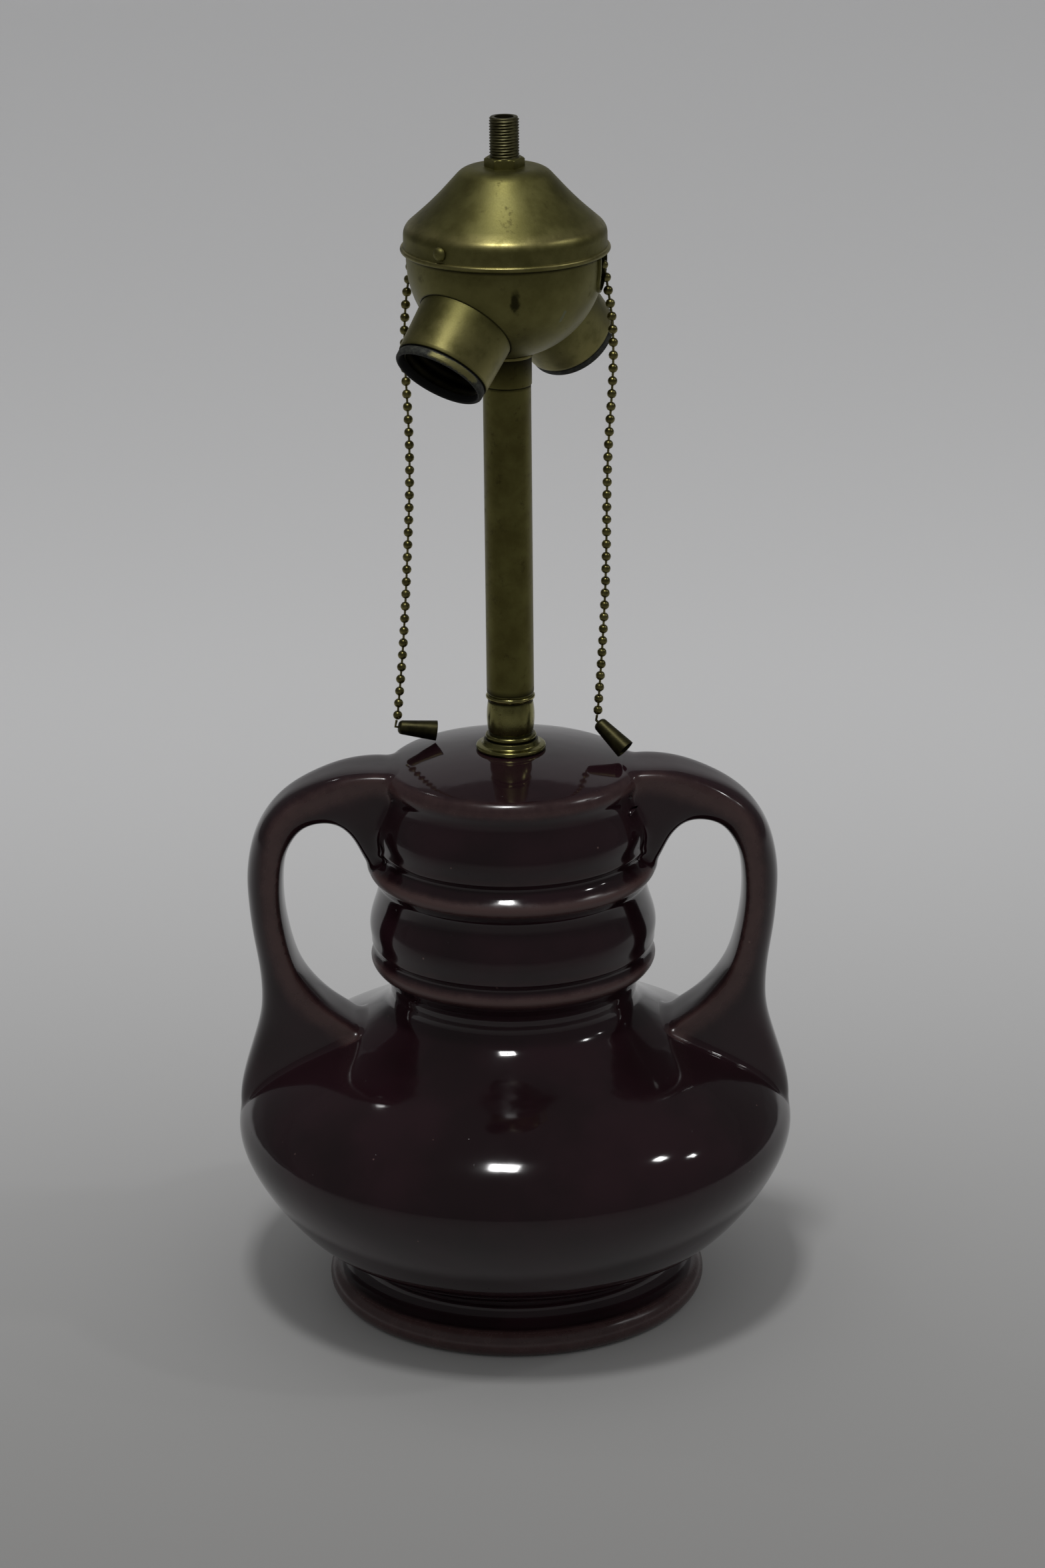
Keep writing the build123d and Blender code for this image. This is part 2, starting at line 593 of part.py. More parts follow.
def screw_shell(side):
    """Return the lamp screw shell inside the liner, its thread left plain."""
    length = LINER_END - SHELL_START - SCREW_SHELL_SETBACK
    inner = SCREW_SHELL_RADIUS - SCREW_SHELL_WALL
    shell = tube(SCREW_SHELL_RADIUS, inner, SOCKET_BODY_THICKNESS, length)
    return socket_frame(side, SHELL_START) * shell


def socket_body(side):
    """Return the moulded disc at the back of a socket with its narrower neck."""
    radius = SHELL_MOUTH_RADIUS - SHELL_WALL - SHELL_CLEARANCE
    low = (Align.CENTER, Align.CENTER, Align.MIN)
    body = Cylinder(radius, SOCKET_BODY_THICKNESS, align=low)
    neck = Cylinder(SOCKET_BODY_NECK_RADIUS, SOCKET_BODY_NECK_LENGTH,
                    align=(Align.CENTER, Align.CENTER, Align.MAX))
    pocket = Pos(0, 0, SOCKET_BODY_THICKNESS - CONTACT_HEIGHT) * Cylinder(
        CONTACT_RADIUS + CONTACT_CLEARANCE, CONTACT_HEIGHT + CUT_OVERRUN, align=low)
    return socket_frame(side, SHELL_START) * (body + neck - pocket)


def centre_contact(side):
    """Return the brass contact for the tip of the bulb, let into the moulded disc."""
    button = Cylinder(CONTACT_RADIUS, CONTACT_HEIGHT, align=(Align.CENTER, Align.CENTER, Align.MIN))
    button = fillet(button.edges().sort_by(Axis.Z)[-1], CONTACT_HEIGHT / 2)
    return socket_frame(side, SHELL_START + SOCKET_BODY_THICKNESS - CONTACT_HEIGHT) * button


def guide_frame(side):
    """Return the plane across a chain guide at its mouth, facing outward."""
    azimuth = SLOT_AZIMUTH[side]
    origin = along(azimuth, GUIDE_REACH, GUIDE_LEVEL)
    return Plane(origin=origin, x_dir=(0, 0, 1), z_dir=along(azimuth, 1, 0))


def chain_guide(side):
    """Return the brass guide with its flared mouth."""
    flare_end = -GUIDE_FLARE_LENGTH
    mouth, root = at(GUIDE_MOUTH_RADIUS, 0), at(GUIDE_RADIUS, flare_end)
    inner_mouth = at(GUIDE_MOUTH_RADIUS - (GUIDE_RADIUS - GUIDE_BORE_RADIUS) / 2, 0)
    inner_root = at(GUIDE_BORE_RADIUS, flare_end)
    axial = Vector(0, 0, 1)
    guide = turned(
        Line(inner_mouth, mouth),
        Spline(root, mouth, tangents=(axial, axial + Vector(1, 0, 0))),
        Polyline(root, at(GUIDE_RADIUS, -GUIDE_LENGTH), at(GUIDE_BORE_RADIUS, -GUIDE_LENGTH),
                 inner_root),
        Spline(inner_root, inner_mouth, tangents=(axial, axial + Vector(1, 0, 0))),
    )
    return guide_frame(side) * guide


def switch_body(side):
    """Return the moulded switch block, bored for the guide and the chain's travel."""
    block = Box(SWITCH_HEIGHT, SWITCH_WIDTH, SWITCH_LENGTH,
                align=(Align.CENTER, Align.CENTER, Align.MAX))
    block = fillet(block.edges().filter_by(Axis.Z), SWITCH_WIDTH / 8)
    seat = Cylinder(GUIDE_RADIUS, GUIDE_SEATING, align=(Align.CENTER, Align.CENTER, Align.MAX))
    way = Cylinder(GUIDE_BORE_RADIUS, SWITCH_LENGTH - GUIDE_SEATING / 2,
                   align=(Align.CENTER, Align.CENTER, Align.MAX))
    return guide_frame(side) * Pos(0, 0, SWITCH_REACH - GUIDE_REACH) * (block - seat - way)


def switch_bracket(side):
    """Return the flat plate over a switch, rounded to bear on the wall of the bowl."""
    azimuth = SLOT_AZIMUTH[side]
    level = GUIDE_LEVEL + SWITCH_HEIGHT / 2
    reach = BOWL_RADIUS - SHEET - BRACKET_CLEARANCE
    start = SWITCH_REACH - SWITCH_LENGTH
    strip = Pos(start) * Rectangle(reach, BRACKET_WIDTH, align=(Align.MIN, Align.CENTER))
    plate = extrude(strip & Circle(reach), BRACKET_THICKNESS)
    return Pos(0, 0, level) * Rot(0, 0, azimuth) * plate


def bead_rings(centre, arriving, leaving):
    """Return the four rings of one bead, each as centre, direction and radius."""
    end = BEAD_RADIUS * BEAD_END_SHARE
    shoulder = BEAD_RADIUS * BEAD_SHOULDER_SHARE
    wide = math.sqrt(BEAD_RADIUS ** 2 - shoulder ** 2)
    return [
        (centre - arriving * end, arriving, LINK_RADIUS),
        (centre - arriving * shoulder, arriving, wide),
        (centre + leaving * shoulder, leaving, wide),
        (centre + leaving * end, leaving, LINK_RADIUS),
    ]


def ringed_solid(rings, across):
    """Return the faceted solid through rings, all turned to one sideways direction."""
    sections = []
    for centre, direction, radius in rings:
        plane = Plane(origin=centre, x_dir=across - direction * across.dot(direction), z_dir=direction)
        corners = []
        for step in range(BEAD_SIDES):
            angle = math.tau * step / BEAD_SIDES
            local = (radius * math.cos(angle), radius * math.sin(angle), 0)
            corners.append(plane.from_local_coords(local))
        sections.append(Face(Wire.make_polygon(corners, close=True)))
    return loft(sections, ruled=True)


def beads_through(centres, across, lead_in=None, lead_out=None):
    """Return a run of beads and links through bead centres, with optional end points."""
    rings = []
    for index, centre in enumerate(centres):
        before = centres[index - 1] if index else lead_in
        after = centres[index + 1] if index + 1 < len(centres) else lead_out
        leaving = (after - centre).normalized() if after else None
        arriving = (centre - before).normalized() if before else leaving
        rings += bead_rings(centre, arriving, leaving or arriving)
    return ringed_solid(rings, across)


def bell_frame(side):
    """Return the plane at a bell's closed end, facing its mouth."""
    heading = along(BELL_HEADING[side], 1, 0)
    droop = math.radians(BELL_DROOP[side])
    axis = heading * math.cos(droop) - Vector(0, 0, math.sin(droop))
    radius = BELL_CONTACT_RADIUS[side]
    contact = along(BELL_CONTACT_AZIMUTH[side], radius, crown_level(radius) + BELL_CLEARANCE[side])
    rise = Vector(0, 0, math.cos(droop)) + heading * math.sin(droop)
    end = contact + rise * BELL_MOUTH_RADIUS - axis * BELL_LENGTH
    return Plane(origin=end, x_dir=heading.cross(Vector(0, 0, 1)), z_dir=axis)


def chain_bell(side):
    """Return the bell: a thin cone with a domed end, open mouth and an eye for the link."""
    points = (
        at(BELL_EYE_RADIUS, 0),
        at(BELL_END_RADIUS, 0),
        at(BELL_MOUTH_RADIUS, BELL_LENGTH),
    )
    return bell_frame(side) * spun(points, [BELL_END_RADIUS / 2], BELL_WALL)


def last_bead(side):
    """Return the centre of the last bead of a chain, just clear above the end of its bell."""
    rise = BELL_END_RADIUS + BEAD_RADIUS + BEAD_GAP
    return bell_frame(side).origin + Vector(0, 0, rise)


def captive_bead(side):
    """Return the centre of the bead that a bell holds behind its eye."""
    frame = bell_frame(side)
    return frame.origin + frame.z_dir * (BELL_WALL + BEAD_RADIUS + THREAD_CLEARANCE)


def bell_link(side):
    """Return the captive bead and the bent link that leaves the bell by its eye."""
    frame = bell_frame(side)
    captive = captive_bead(side)
    outward = -frame.z_dir
    knee = frame.origin + outward * LINK_RADIUS * 2
    last = last_bead(side)
    upward = (last - knee).normalized()
    rings = bead_rings(captive, outward, outward)
    rings.append((knee, (outward + upward).normalized(), LINK_RADIUS))
    rings.append((last - upward * (BEAD_RADIUS + BEAD_GAP), upward, LINK_RADIUS))
    return ringed_solid(rings, frame.x_dir)


def chain_path(side):
    """Return the path of the hanging chain from its first bead, over the slot, to its last."""
    azimuth = SLOT_AZIMUTH[side]
    start = along(azimuth, chain_start(), GUIDE_LEVEL)
    bend = along(azimuth, chain_start() + CHAIN_BEND_RADIUS, GUIDE_LEVEL - CHAIN_BEND_RADIUS)
    slot = along(azimuth, BOWL_RADIUS + CHAIN_STANDOFF, SLOT_BOTTOM - BEAD_RADIUS)
    end = last_bead(side)
    points = [slot]
    for down, over in CHAIN_SHARES:
        flat = slot + (end - slot) * over
        points.append(Vector(flat.X, flat.Y, between(slot.Z, end.Z, down)))
    points.append(end)
    outward = along(azimuth, 1, 0)
    arc = TangentArc(start, bend, tangent=outward)
    drop = Spline(bend, *points, tangents=(Vector(0, 0, -1), end - points[-2]))
    return Wire([arc, drop])


def chain_start():
    """Return the radius at which a chain's first free bead lies in the guide's mouth."""
    return GUIDE_REACH + LINK_RADIUS


def chain_centres(side):
    """Return the bead centres of the hanging chain, evenly spaced at about the pitch."""
    path = chain_path(side)
    count = round(path.length / BEAD_PITCH)
    return [path @ (index / count) for index in range(count + 1)]


def across_chain(side):
    """Return the sideways direction of a chain, square to the plane of its bend."""
    return along(SLOT_AZIMUTH[side] + 90, 1, 0)


def pull_chain(side):
    """Return the hanging run of beads and links."""
    return beads_through(chain_centres(side), across_chain(side))


def chain_lead(side):
    """Return the beads inside the guide, ending in a link just short of the free chain."""
    azimuth = SLOT_AZIMUTH[side]
    centres = []
    for index in range(LEAD_BEADS, 0, -1):
        centres.append(along(azimuth, chain_start() - index * BEAD_PITCH, GUIDE_LEVEL))
    rings = []
    outward = along(azimuth, 1, 0)
    for centre in centres:
        rings += bead_rings(centre, outward, outward)
    end = chain_start() - BEAD_RADIUS - BEAD_GAP
    rings.append((along(azimuth, end, GUIDE_LEVEL), outward, LINK_RADIUS))
    return ringed_solid(rings, across_chain(side))


def shared_pieces():
    """Return the pieces on the lamp axis by name."""
    nut = LOCKNUT_ACROSS_FLATS
    bore = PIPE_RADIUS + PIPE_CLEARANCE
    washer_top = BASE_WASHER_LEVEL + BASE_WASHER_THICKNESS
    return {
        "vase_body": vase_body(),
        "base_washer": tube(BASE_WASHER_RADIUS, bore, BASE_WASHER_LEVEL, washer_top),
        "base_locknut": hex_nut(BASE_NUT_ACROSS_FLATS, BASE_NUT_THICKNESS, BASE_NUT_LEVEL),
        "lamp_pipe": tube(PIPE_RADIUS, PIPE_BORE_RADIUS, PIPE_BOTTOM, PIPE_TOP),
        "seating_flange": seating_flange(),
        "turned_collar": turned_collar(),
        "bead_ring": bead_ring(),
        "riser_tube": tube(RISER_RADIUS, RISER_RADIUS - RISER_WALL, RISER_LEVEL, SLEEVE_LEVEL),
        "cluster_sleeve": cluster_sleeve(),
        "cluster_bowl": cluster_bowl(),
        "bowl_washer": tube(BOWL_WASHER_RADIUS, bore, BOWL_WASHER_LEVEL, BOWL_NUT_LEVEL),
        "bowl_locknut": hex_nut(nut, LOCKNUT_THICKNESS, BOWL_NUT_LEVEL),
        "cluster_cap": cluster_cap(),
        "cap_screws": cap_screws(),
        "inner_locknut": hex_nut(nut, LOCKNUT_THICKNESS, INNER_NUT_LEVEL, THREAD_ROOT_RADIUS),
        "top_locknut": hex_nut(nut, LOCKNUT_THICKNESS, CAP_TOP, THREAD_ROOT_RADIUS),
        "top_nipple": top_nipple(),
    }


def side_pieces(side):
    """Return the pieces of one light and its pull chain by name."""
    makers = (
        socket_shell, socket_liner, screw_shell, socket_body, centre_contact, switch_bracket,
        switch_body, chain_guide, chain_lead, pull_chain, bell_link, chain_bell,
    )
    return {f"{side}_{maker.__name__}": maker(side) for maker in makers}


def main():
    """Write every piece to its own file."""
    pieces = shared_pieces()
    for side in SIDES:
        pieces.update(side_pieces(side))
    os.makedirs("parts", exist_ok=True)
    for name, piece in pieces.items():
        export_step(piece, f"parts/{name}.step")


main()
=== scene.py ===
"""Looks of the two-handled vase lamp base: glaze, brass, chains, threads and soft studio light.

Metres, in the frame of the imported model. +Z is up and the lamp faces -Y.
"""
import math

import bmesh
import bpy
import numpy as np
from mathutils import Matrix, Vector
from mathutils.bvhtree import BVHTree


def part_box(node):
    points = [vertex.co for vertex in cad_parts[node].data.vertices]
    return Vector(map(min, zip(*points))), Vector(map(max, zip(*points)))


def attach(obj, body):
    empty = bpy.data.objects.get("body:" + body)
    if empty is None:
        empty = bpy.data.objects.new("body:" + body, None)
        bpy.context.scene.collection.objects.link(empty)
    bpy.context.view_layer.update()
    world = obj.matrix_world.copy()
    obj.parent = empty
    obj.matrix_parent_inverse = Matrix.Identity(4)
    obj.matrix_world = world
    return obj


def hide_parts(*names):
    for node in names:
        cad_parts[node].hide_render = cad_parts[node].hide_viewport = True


MM = 0.001
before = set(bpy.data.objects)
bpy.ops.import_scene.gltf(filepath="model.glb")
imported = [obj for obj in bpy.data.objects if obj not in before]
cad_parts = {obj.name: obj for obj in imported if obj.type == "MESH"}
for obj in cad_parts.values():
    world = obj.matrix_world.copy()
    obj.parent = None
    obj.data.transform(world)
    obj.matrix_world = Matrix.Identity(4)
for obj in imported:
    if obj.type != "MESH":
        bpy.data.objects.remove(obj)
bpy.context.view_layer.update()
SIDES = ("left", "right")


def node_box(name):
    """Return a node's lowest and highest corners as vectors."""
    low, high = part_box(name)
    return Vector(low), Vector(high)


# Vase
VASE_TOP = node_box("vase_body")[1].z
BELLY_RADIUS = 95.7 * MM
BELLY_LEVEL = 66 * MM
FOOT_RADIUS = 65.6 * MM
FOOT_HEIGHT = 9.4 * MM
FOOT_INSET = 4.1 * MM
RECESS_RADIUS = 52 * MM
COVE_RADIUS = 55.8 * MM
COVE_LEVEL = 15 * MM
FLOOR_UNDERSIDE = 12 * MM
FLOOR_THICKNESS = 6 * MM
WALL = 5.4 * MM
WAIST_RADIUS = 42.2 * MM
WAIST_LEVEL = 110.5 * MM
NECK_RADIUS = 49.1 * MM
SEAT_RADIUS = 13 * MM
ROD_HOLE_RADIUS = 5.625 * MM
NOTCH_WIDTH = 9 * MM
NOTCH_HEIGHT = 8 * MM
BELLY_SHARES = ((0.11, 0.08), (0.43, 0.235), (0.695, 0.44), (0.89, 0.665))
SHOULDER_SHARES = (
    (0.065, 0.164), (0.157, 0.294), (0.284, 0.413), (0.428, 0.517), (0.609, 0.625),
    (0.755, 0.719), (0.854, 0.796), (0.92, 0.856), (0.966, 0.908), (0.989, 0.953),
)
NECK_SHARES = (
    (0.058, 0.046), (0.97, 0.157), (0.74, 0.199), (0.93, 0.227), (1.0, 0.289), (0.54, 0.455),
    (1.02, 0.527), (0.43, 0.599), (0.63, 0.63), (0.71, 0.691), (0.145, 0.849), (0.246, 0.886),
)
RIM_SHARES = ((0.104, 0.92), (-0.27, 0.942))
VASE_SEGMENTS = 256
OUTLINE_STEP = 1.2 * MM
NECK_STEP = 0.5 * MM

# Handles: one row per section, inner x, inner z, outer x, outer z, half width, squareness, ridge place
HANDLE_SPAN = 90.7 * MM
HANDLE_TOP = 193 * MM
HANDLE_FOOT = 60 * MM
HANDLE_HALF_WIDTH = 12 * MM
HANDLE_INNER_SQUARENESS = 3.5
HANDLE_SHARES = (
    (0.428, 0.687, 0.428, 0.997, 1.08, 4.0, 0.88),
    (0.540, 0.738, 0.540, 1.000, 1.05, 4.0, 0.88),
    (0.583, 0.796, 0.642, 0.991, 1.02, 3.6, 0.80),
    (0.633, 0.840, 0.749, 0.965, 1.0, 3.2, 0.70),
    (0.701, 0.854, 0.845, 0.927, 1.0, 2.8, 0.65),
    (0.775, 0.840, 0.918, 0.878, 1.0, 2.5, 0.60),
    (0.827, 0.800, 0.969, 0.816, 1.0, 2.3, 0.45),
    (0.858, 0.738, 0.999, 0.723, 1.0, 2.1, 0.36),
    (0.865, 0.650, 1.000, 0.643, 1.0, 2.1, 0.34),
    (0.851, 0.563, 0.987, 0.548, 1.0, 2.1, 0.34),
    (0.821, 0.479, 0.965, 0.446, 1.0, 2.2, 0.30),
    (0.774, 0.417, 0.961, 0.351, 1.01, 2.4, 0.25),
    (0.706, 0.362, 0.982, 0.278, 1.03, 2.6, 0.15),
    (0.631, 0.322, 1.021, 0.191, 1.06, 2.8, 0.10),
    (0.535, 0.271, 1.050, 0.103, 1.10, 3.0, 0.10),
    (0.481, 0.169, 1.037, 0.001, 1.12, 3.0, 0.10),
)
HANDLE_ROWS = 150
HANDLE_STEPS = 72
HANDLE_VOXEL = 0.8 * MM
HANDLE_SINK = 0.04 * MM
BATCH = 4000
HANDLE_WALL = 1.2 * MM
HANDLE_MARGIN = 12 * MM
HANDLE_REACH = 4 * MM
HANDLE_MIDDLE = 62 * MM
CORE_SEGMENTS = 160
SETTLING_ROUNDS = 5
SETTLING_SHARE = 0.4
# Width of the glazed fillet between handle and vase at four levels
FILLET_LEVELS = (72 * MM, 95 * MM, 174 * MM, 188 * MM)
FILLET_WIDTHS = (1.2 * MM, 3 * MM, 3.5 * MM, 2 * MM)

# Glaze: it runs thin where the outline bends outward by this many turns per metre, from none to all
THIN_BEND = 75
THIN_BEND_SPAN = 240
THIN_SPREAD = 5
THIN_FALLOFF = 0.18
RIDGE_WIDTH = 4.6 * MM
RIDGE_SHARE = 0.7
SHARP_SHARE = 0.35

# Camera, worked out from the proportions of the photograph
CAMERA_DISTANCE = 1466.6 * MM
CAMERA_HEIGHT = 704.2 * MM
CAMERA_PITCH = 19.5
CAMERA_ROLL = -0.6
CAMERA_YAW = -0.147
LENS = 105
SENSOR = 36

# Light, in watts and as strengths of the white room: name, azimuth, height in degrees, distance, size, power
LAMPS = (
    ("high_front", -11, 72.5, 2.0, 0.25, 11),
    ("right", 81, 46, 2.2, 0.13, 2.0),
    ("right_behind", 90, 34.6, 2.3, 0.09, 0.7),
    ("left_behind", -136, 52, 2.4, 0.09, 0.4),
)
LIT_LEVEL = 0.1
ROOM_LIGHT = 0.5
ROOM_SEEN = 0.09

# Paper sweep: it rises further off than any view; its tone is painted light and shade, darker in front, paler
# behind the lamp and darker aside
SWEEP_EDGE = 60
SWEEP_FLAT = 2.6
SWEEP_CURVE = 0.9
SWEEP_HEIGHT = 3.2
PAPER_NEAR_SHADE = (0.25, 0.247, 0.241)
PAPER_FAR_LIT = (0.71, 0.71, 0.715)
PAPER_LAST_LIT = (0.76, 0.76, 0.765)
PAPER_ASIDE_SHADE = (0.24, 0.24, 0.242)


def between(start, end, share):
    """Return the value that lies a share of the way from start to end."""
    return start + (end - start) * share


def cubic_through(points, count):
    """Return count + 1 rows along a smooth curve through the given rows, spaced by their distance."""
    points = np.array(points, float)
    knots = np.concatenate([[0], np.cumsum(np.linalg.norm(np.diff(points[:, :2], axis=0), axis=1))])
    gaps = np.diff(knots)
    size = len(points)
    system = np.eye(size)
    right = np.zeros_like(points)
    for i in range(1, size - 1):
        system[i, i - 1:i + 2] = gaps[i - 1], 2 * (gaps[i - 1] + gaps[i]), gaps[i]
        right[i] = 6 * ((points[i + 1] - points[i]) / gaps[i] - (points[i] - points[i - 1]) / gaps[i - 1])
    bends = np.linalg.solve(system, right)
    places = np.linspace(0, knots[-1], count + 1)
    spans = np.clip(np.searchsorted(knots, places, side="right") - 1, 0, size - 2)
    gap, before, after = gaps[spans], places - knots[spans], knots[spans + 1] - places
    gap, before, after = gap[:, None], before[:, None], after[:, None]
    return (
        (bends[spans] * after ** 3 + bends[spans + 1] * before ** 3) / (6 * gap)
        + (points[spans] / gap - bends[spans] * gap / 6) * after
        + (points[spans + 1] / gap - bends[spans + 1] * gap / 6) * before
    )


def upright_turn(start, end, step):
    """Return points from start to end along a curve that is upright at both."""
    start, end = np.array(start), np.array(end)
    chord = np.linalg.norm(end - start)
    upright = np.array((0, chord))
    shares = np.linspace(0, 1, max(int(chord / step), 4) + 1)[:, None]
    s2, s3 = shares ** 2, shares ** 3
    return list(
        (2 * s3 - 3 * s2 + 1) * start + (s3 - 2 * s2 + shares) * upright
        + (3 * s2 - 2 * s3) * end + (s3 - s2) * upright
    )


def arc_through(start, middle, end, step):
    """Return points along the circle arc through three (radius, level) points."""
    (ax, ay), (bx, by), (cx, cy) = start, middle, end
    cross = 2 * (ax * (by - cy) + bx * (cy - ay) + cx * (ay - by))
    a2, b2, c2 = ax * ax + ay * ay, bx * bx + by * by, cx * cx + cy * cy
    ox = (a2 * (by - cy) + b2 * (cy - ay) + c2 * (ay - by)) / cross
    oy = (a2 * (cx - bx) + b2 * (ax - cx) + c2 * (bx - ax)) / cross
    radius = math.hypot(ax - ox, ay - oy)
    first = math.atan2(ay - oy, ax - ox)
    sweep = (math.atan2(cy - oy, cx - ox) - first) % math.tau
    through = (math.atan2(by - oy, bx - ox) - first) % math.tau
    if through > sweep:
        sweep -= math.tau
    count = max(int(abs(sweep) * radius / step), 4)
    angles = first + sweep * np.arange(count + 1) / count
    return [(ox + radius * math.cos(a), oy + radius * math.sin(a)) for a in angles]


def neck_point(shares):
    """Return a neck or rim point from its two shares."""
    return (between(WAIST_RADIUS, NECK_RADIUS, shares[0]), between(WAIST_LEVEL, VASE_TOP, shares[1]))


def crown_level(radius):
    """Return the level of the domed top of the vase at a radius."""
    rim = neck_point(RIM_SHARES[-1])
    share = (radius ** 2 - SEAT_RADIUS ** 2) / (rim[0] ** 2 - SEAT_RADIUS ** 2)
    return between(VASE_TOP, rim[1], share)


def belly_line(cove, belly, waist, count):
    """Return the points from cove over belly and shoulder to waist."""
    points = [cove]
    points += [(between(cove[0], belly[0], a), between(cove[1], belly[1], b)) for a, b in BELLY_SHARES]
    points.append(belly)
    points += [(between(belly[0], waist[0], a), between(belly[1], waist[1], b)) for a, b in SHOULDER_SHARES]
    points.append(waist)
    return list(cubic_through(points, count))


def vase_outside():
    """Return the outer outline from the foot ring's contact up to the hole in the crown."""
    contact = (FOOT_RADIUS - FOOT_INSET, 0)
    foot_top = (FOOT_RADIUS - FOOT_INSET, FOOT_HEIGHT)
    cove = (COVE_RADIUS, COVE_LEVEL)
    hollow = (between(COVE_RADIUS, foot_top[0], 1 / 3), FOOT_HEIGHT + (COVE_LEVEL - FOOT_HEIGHT) / 4)
    waist = (WAIST_RADIUS, WAIST_LEVEL)
    line = arc_through(contact, (FOOT_RADIUS, FOOT_HEIGHT / 2), foot_top, NECK_STEP)
    line += arc_through(foot_top, hollow, cove, NECK_STEP)[1:]
    line += belly_line(cove, (BELLY_RADIUS, BELLY_LEVEL), waist, int(140 * MM / OUTLINE_STEP))[1:]
    start = waist
    for shares in NECK_SHARES:
        end = neck_point(shares)
        line += upright_turn(start, end, NECK_STEP)[1:]
        start = end
    lip, rim = [neck_point(shares) for shares in RIM_SHARES]
    line += arc_through(start, lip, rim, NECK_STEP)[1:]
    middle = between(rim[0], SEAT_RADIUS, 1 / 2)
    line += arc_through(rim, (middle, crown_level(middle)), (SEAT_RADIUS, VASE_TOP), 2 * OUTLINE_STEP)[1:]
    return line


def vase_inside():
    """Return the hollow's outline from the crown hole down to the hole in the floor."""
    cove = (COVE_RADIUS - WALL, FLOOR_UNDERSIDE + FLOOR_THICKNESS)
    belly = (BELLY_RADIUS - WALL, BELLY_LEVEL)
    waist = (WAIST_RADIUS - WALL, WAIST_LEVEL - WALL)
    rim = neck_point(RIM_SHARES[-1])
    line = belly_line(cove, belly, waist, 20)
    line += [(rim[0] - WALL, rim[1] - WALL), (ROD_HOLE_RADIUS, VASE_TOP - WALL)]
    return line[::-1] + [(ROD_HOLE_RADIUS, cove[1])]


def new_piece(name, verts, faces, smooth=True, sharp_angle=None):
    """Make a mesh object from lists of corners and faces."""
    mesh = bpy.data.meshes.new(name)
    mesh.from_pydata([tuple(v) for v in verts], [], faces)
    mesh.validate()
    mesh.polygons.foreach_set("use_smooth", [smooth] * len(mesh.polygons))
    if sharp_angle:
        mesh.set_sharp_from_angle(angle=math.radians(sharp_angle))
    piece = bpy.data.objects.new(name, mesh)
    bpy.context.collection.objects.link(piece)
    return piece


def ring_faces(rows, segments, closed=True):
    """Return the quads between rows of corners, each row a ring; closed joins the last row to the first."""
    faces = []
    for row in range(rows if closed else rows - 1):
        below, above = row * segments, (row + 1) % rows * segments
        for k in range(segments):
            after = (k + 1) % segments
            faces.append((below + k, below + after, above + after, above + k))
    return faces


def spin(outline, segments):
    """Return corners and quads of a closed outline spun round the lamp axis, anticlockwise facing out."""
    outline = np.array(outline, float)
    angles = np.arange(segments) * math.tau / segments
    radii, levels = outline[:, 0][:, None], outline[:, 1][:, None]
    verts = np.stack([radii * np.cos(angles), radii * np.sin(angles), levels + 0 * angles], axis=2)
    return verts.reshape(-1, 3), ring_faces(len(outline), segments)


def outline_bend(outline):
    """Return how sharply an outline bends outward at each point, in turns per metre of arc."""
    line = np.array(outline)
    before, after = line - np.roll(line, 1, axis=0), np.roll(line, -1, axis=0) - line
    turn = before[:, 0] * after[:, 1] - before[:, 1] * after[:, 0]
    lengths = np.linalg.norm(before, axis=1) * np.linalg.norm(after, axis=1)
    angle = np.arcsin(np.clip(turn / np.maximum(lengths, 1e-12), -1, 1))
    return angle / np.maximum((np.linalg.norm(before, axis=1) + np.linalg.norm(after, axis=1)) / 2, 1e-6)


def mark(piece, name, values):
    """Store one number per corner point on a piece."""
    layer = piece.data.attributes.new(name, "FLOAT", "POINT")
    layer.data.foreach_set("value", np.array(values, np.float32))


def notch_cutter():
    """Return the arched cutter for the cord's way out at the back of the foot."""
    radius = NOTCH_WIDTH / 2
    straight = NOTCH_HEIGHT - radius
    arch = [(-radius, -MM), (radius, -MM)]
    arch += [(radius * math.cos(a), straight + radius * math.sin(a)) for a in np.linspace(0, math.pi, 17)]
    verts = [(x, y, z) for y in (RECESS_RADIUS - NOTCH_WIDTH, FOOT_RADIUS + MM) for x, z in arch]
    count = len(arch)
    faces = [(k, (k + 1) % count, count + (k + 1) % count, count + k) for k in range(count)]
    faces += [tuple(range(count)), tuple(range(count, 2 * count))]
    cutter = new_piece("notch", verts, faces, smooth=False)
    face_outward(cutter)
    return cutter


def make_vase():
    """Make the turned body of the vase with its hollow, and mark where the glaze runs thin."""
    outside = vase_outside()
    outline = outside + [(ROD_HOLE_RADIUS, VASE_TOP)] + vase_inside()
    outline += [(ROD_HOLE_RADIUS, FLOOR_UNDERSIDE), (RECESS_RADIUS, FLOOR_UNDERSIDE), (RECESS_RADIUS, 0)]
    verts, faces = spin(outline, VASE_SEGMENTS)
    vase = new_piece("vase", verts, faces, sharp_angle=50)
    bend = outline_bend(outline)
    bend = np.convolve(np.concatenate([bend[-3:], bend, bend[:3]]), np.ones(7) / 7, "valid")
    thin = np.clip((bend - THIN_BEND) / THIN_BEND_SPAN, 0, 1)
    spread = range(-THIN_SPREAD, THIN_SPREAD + 1)
    thin = np.max([np.roll(thin, k) * (1 - THIN_FALLOFF * abs(k)) for k in spread], axis=0)
    thin[len(outside):] = 0
    mark(vase, "thin_glaze", np.repeat(thin, VASE_SEGMENTS))
    notch = notch_cutter()
    cut = vase.modifiers.new("notch", "BOOLEAN")
    cut.object, cut.operation, cut.solver = notch, "DIFFERENCE", "EXACT"
    applied(vase)
    bpy.data.objects.remove(notch)
    return vase


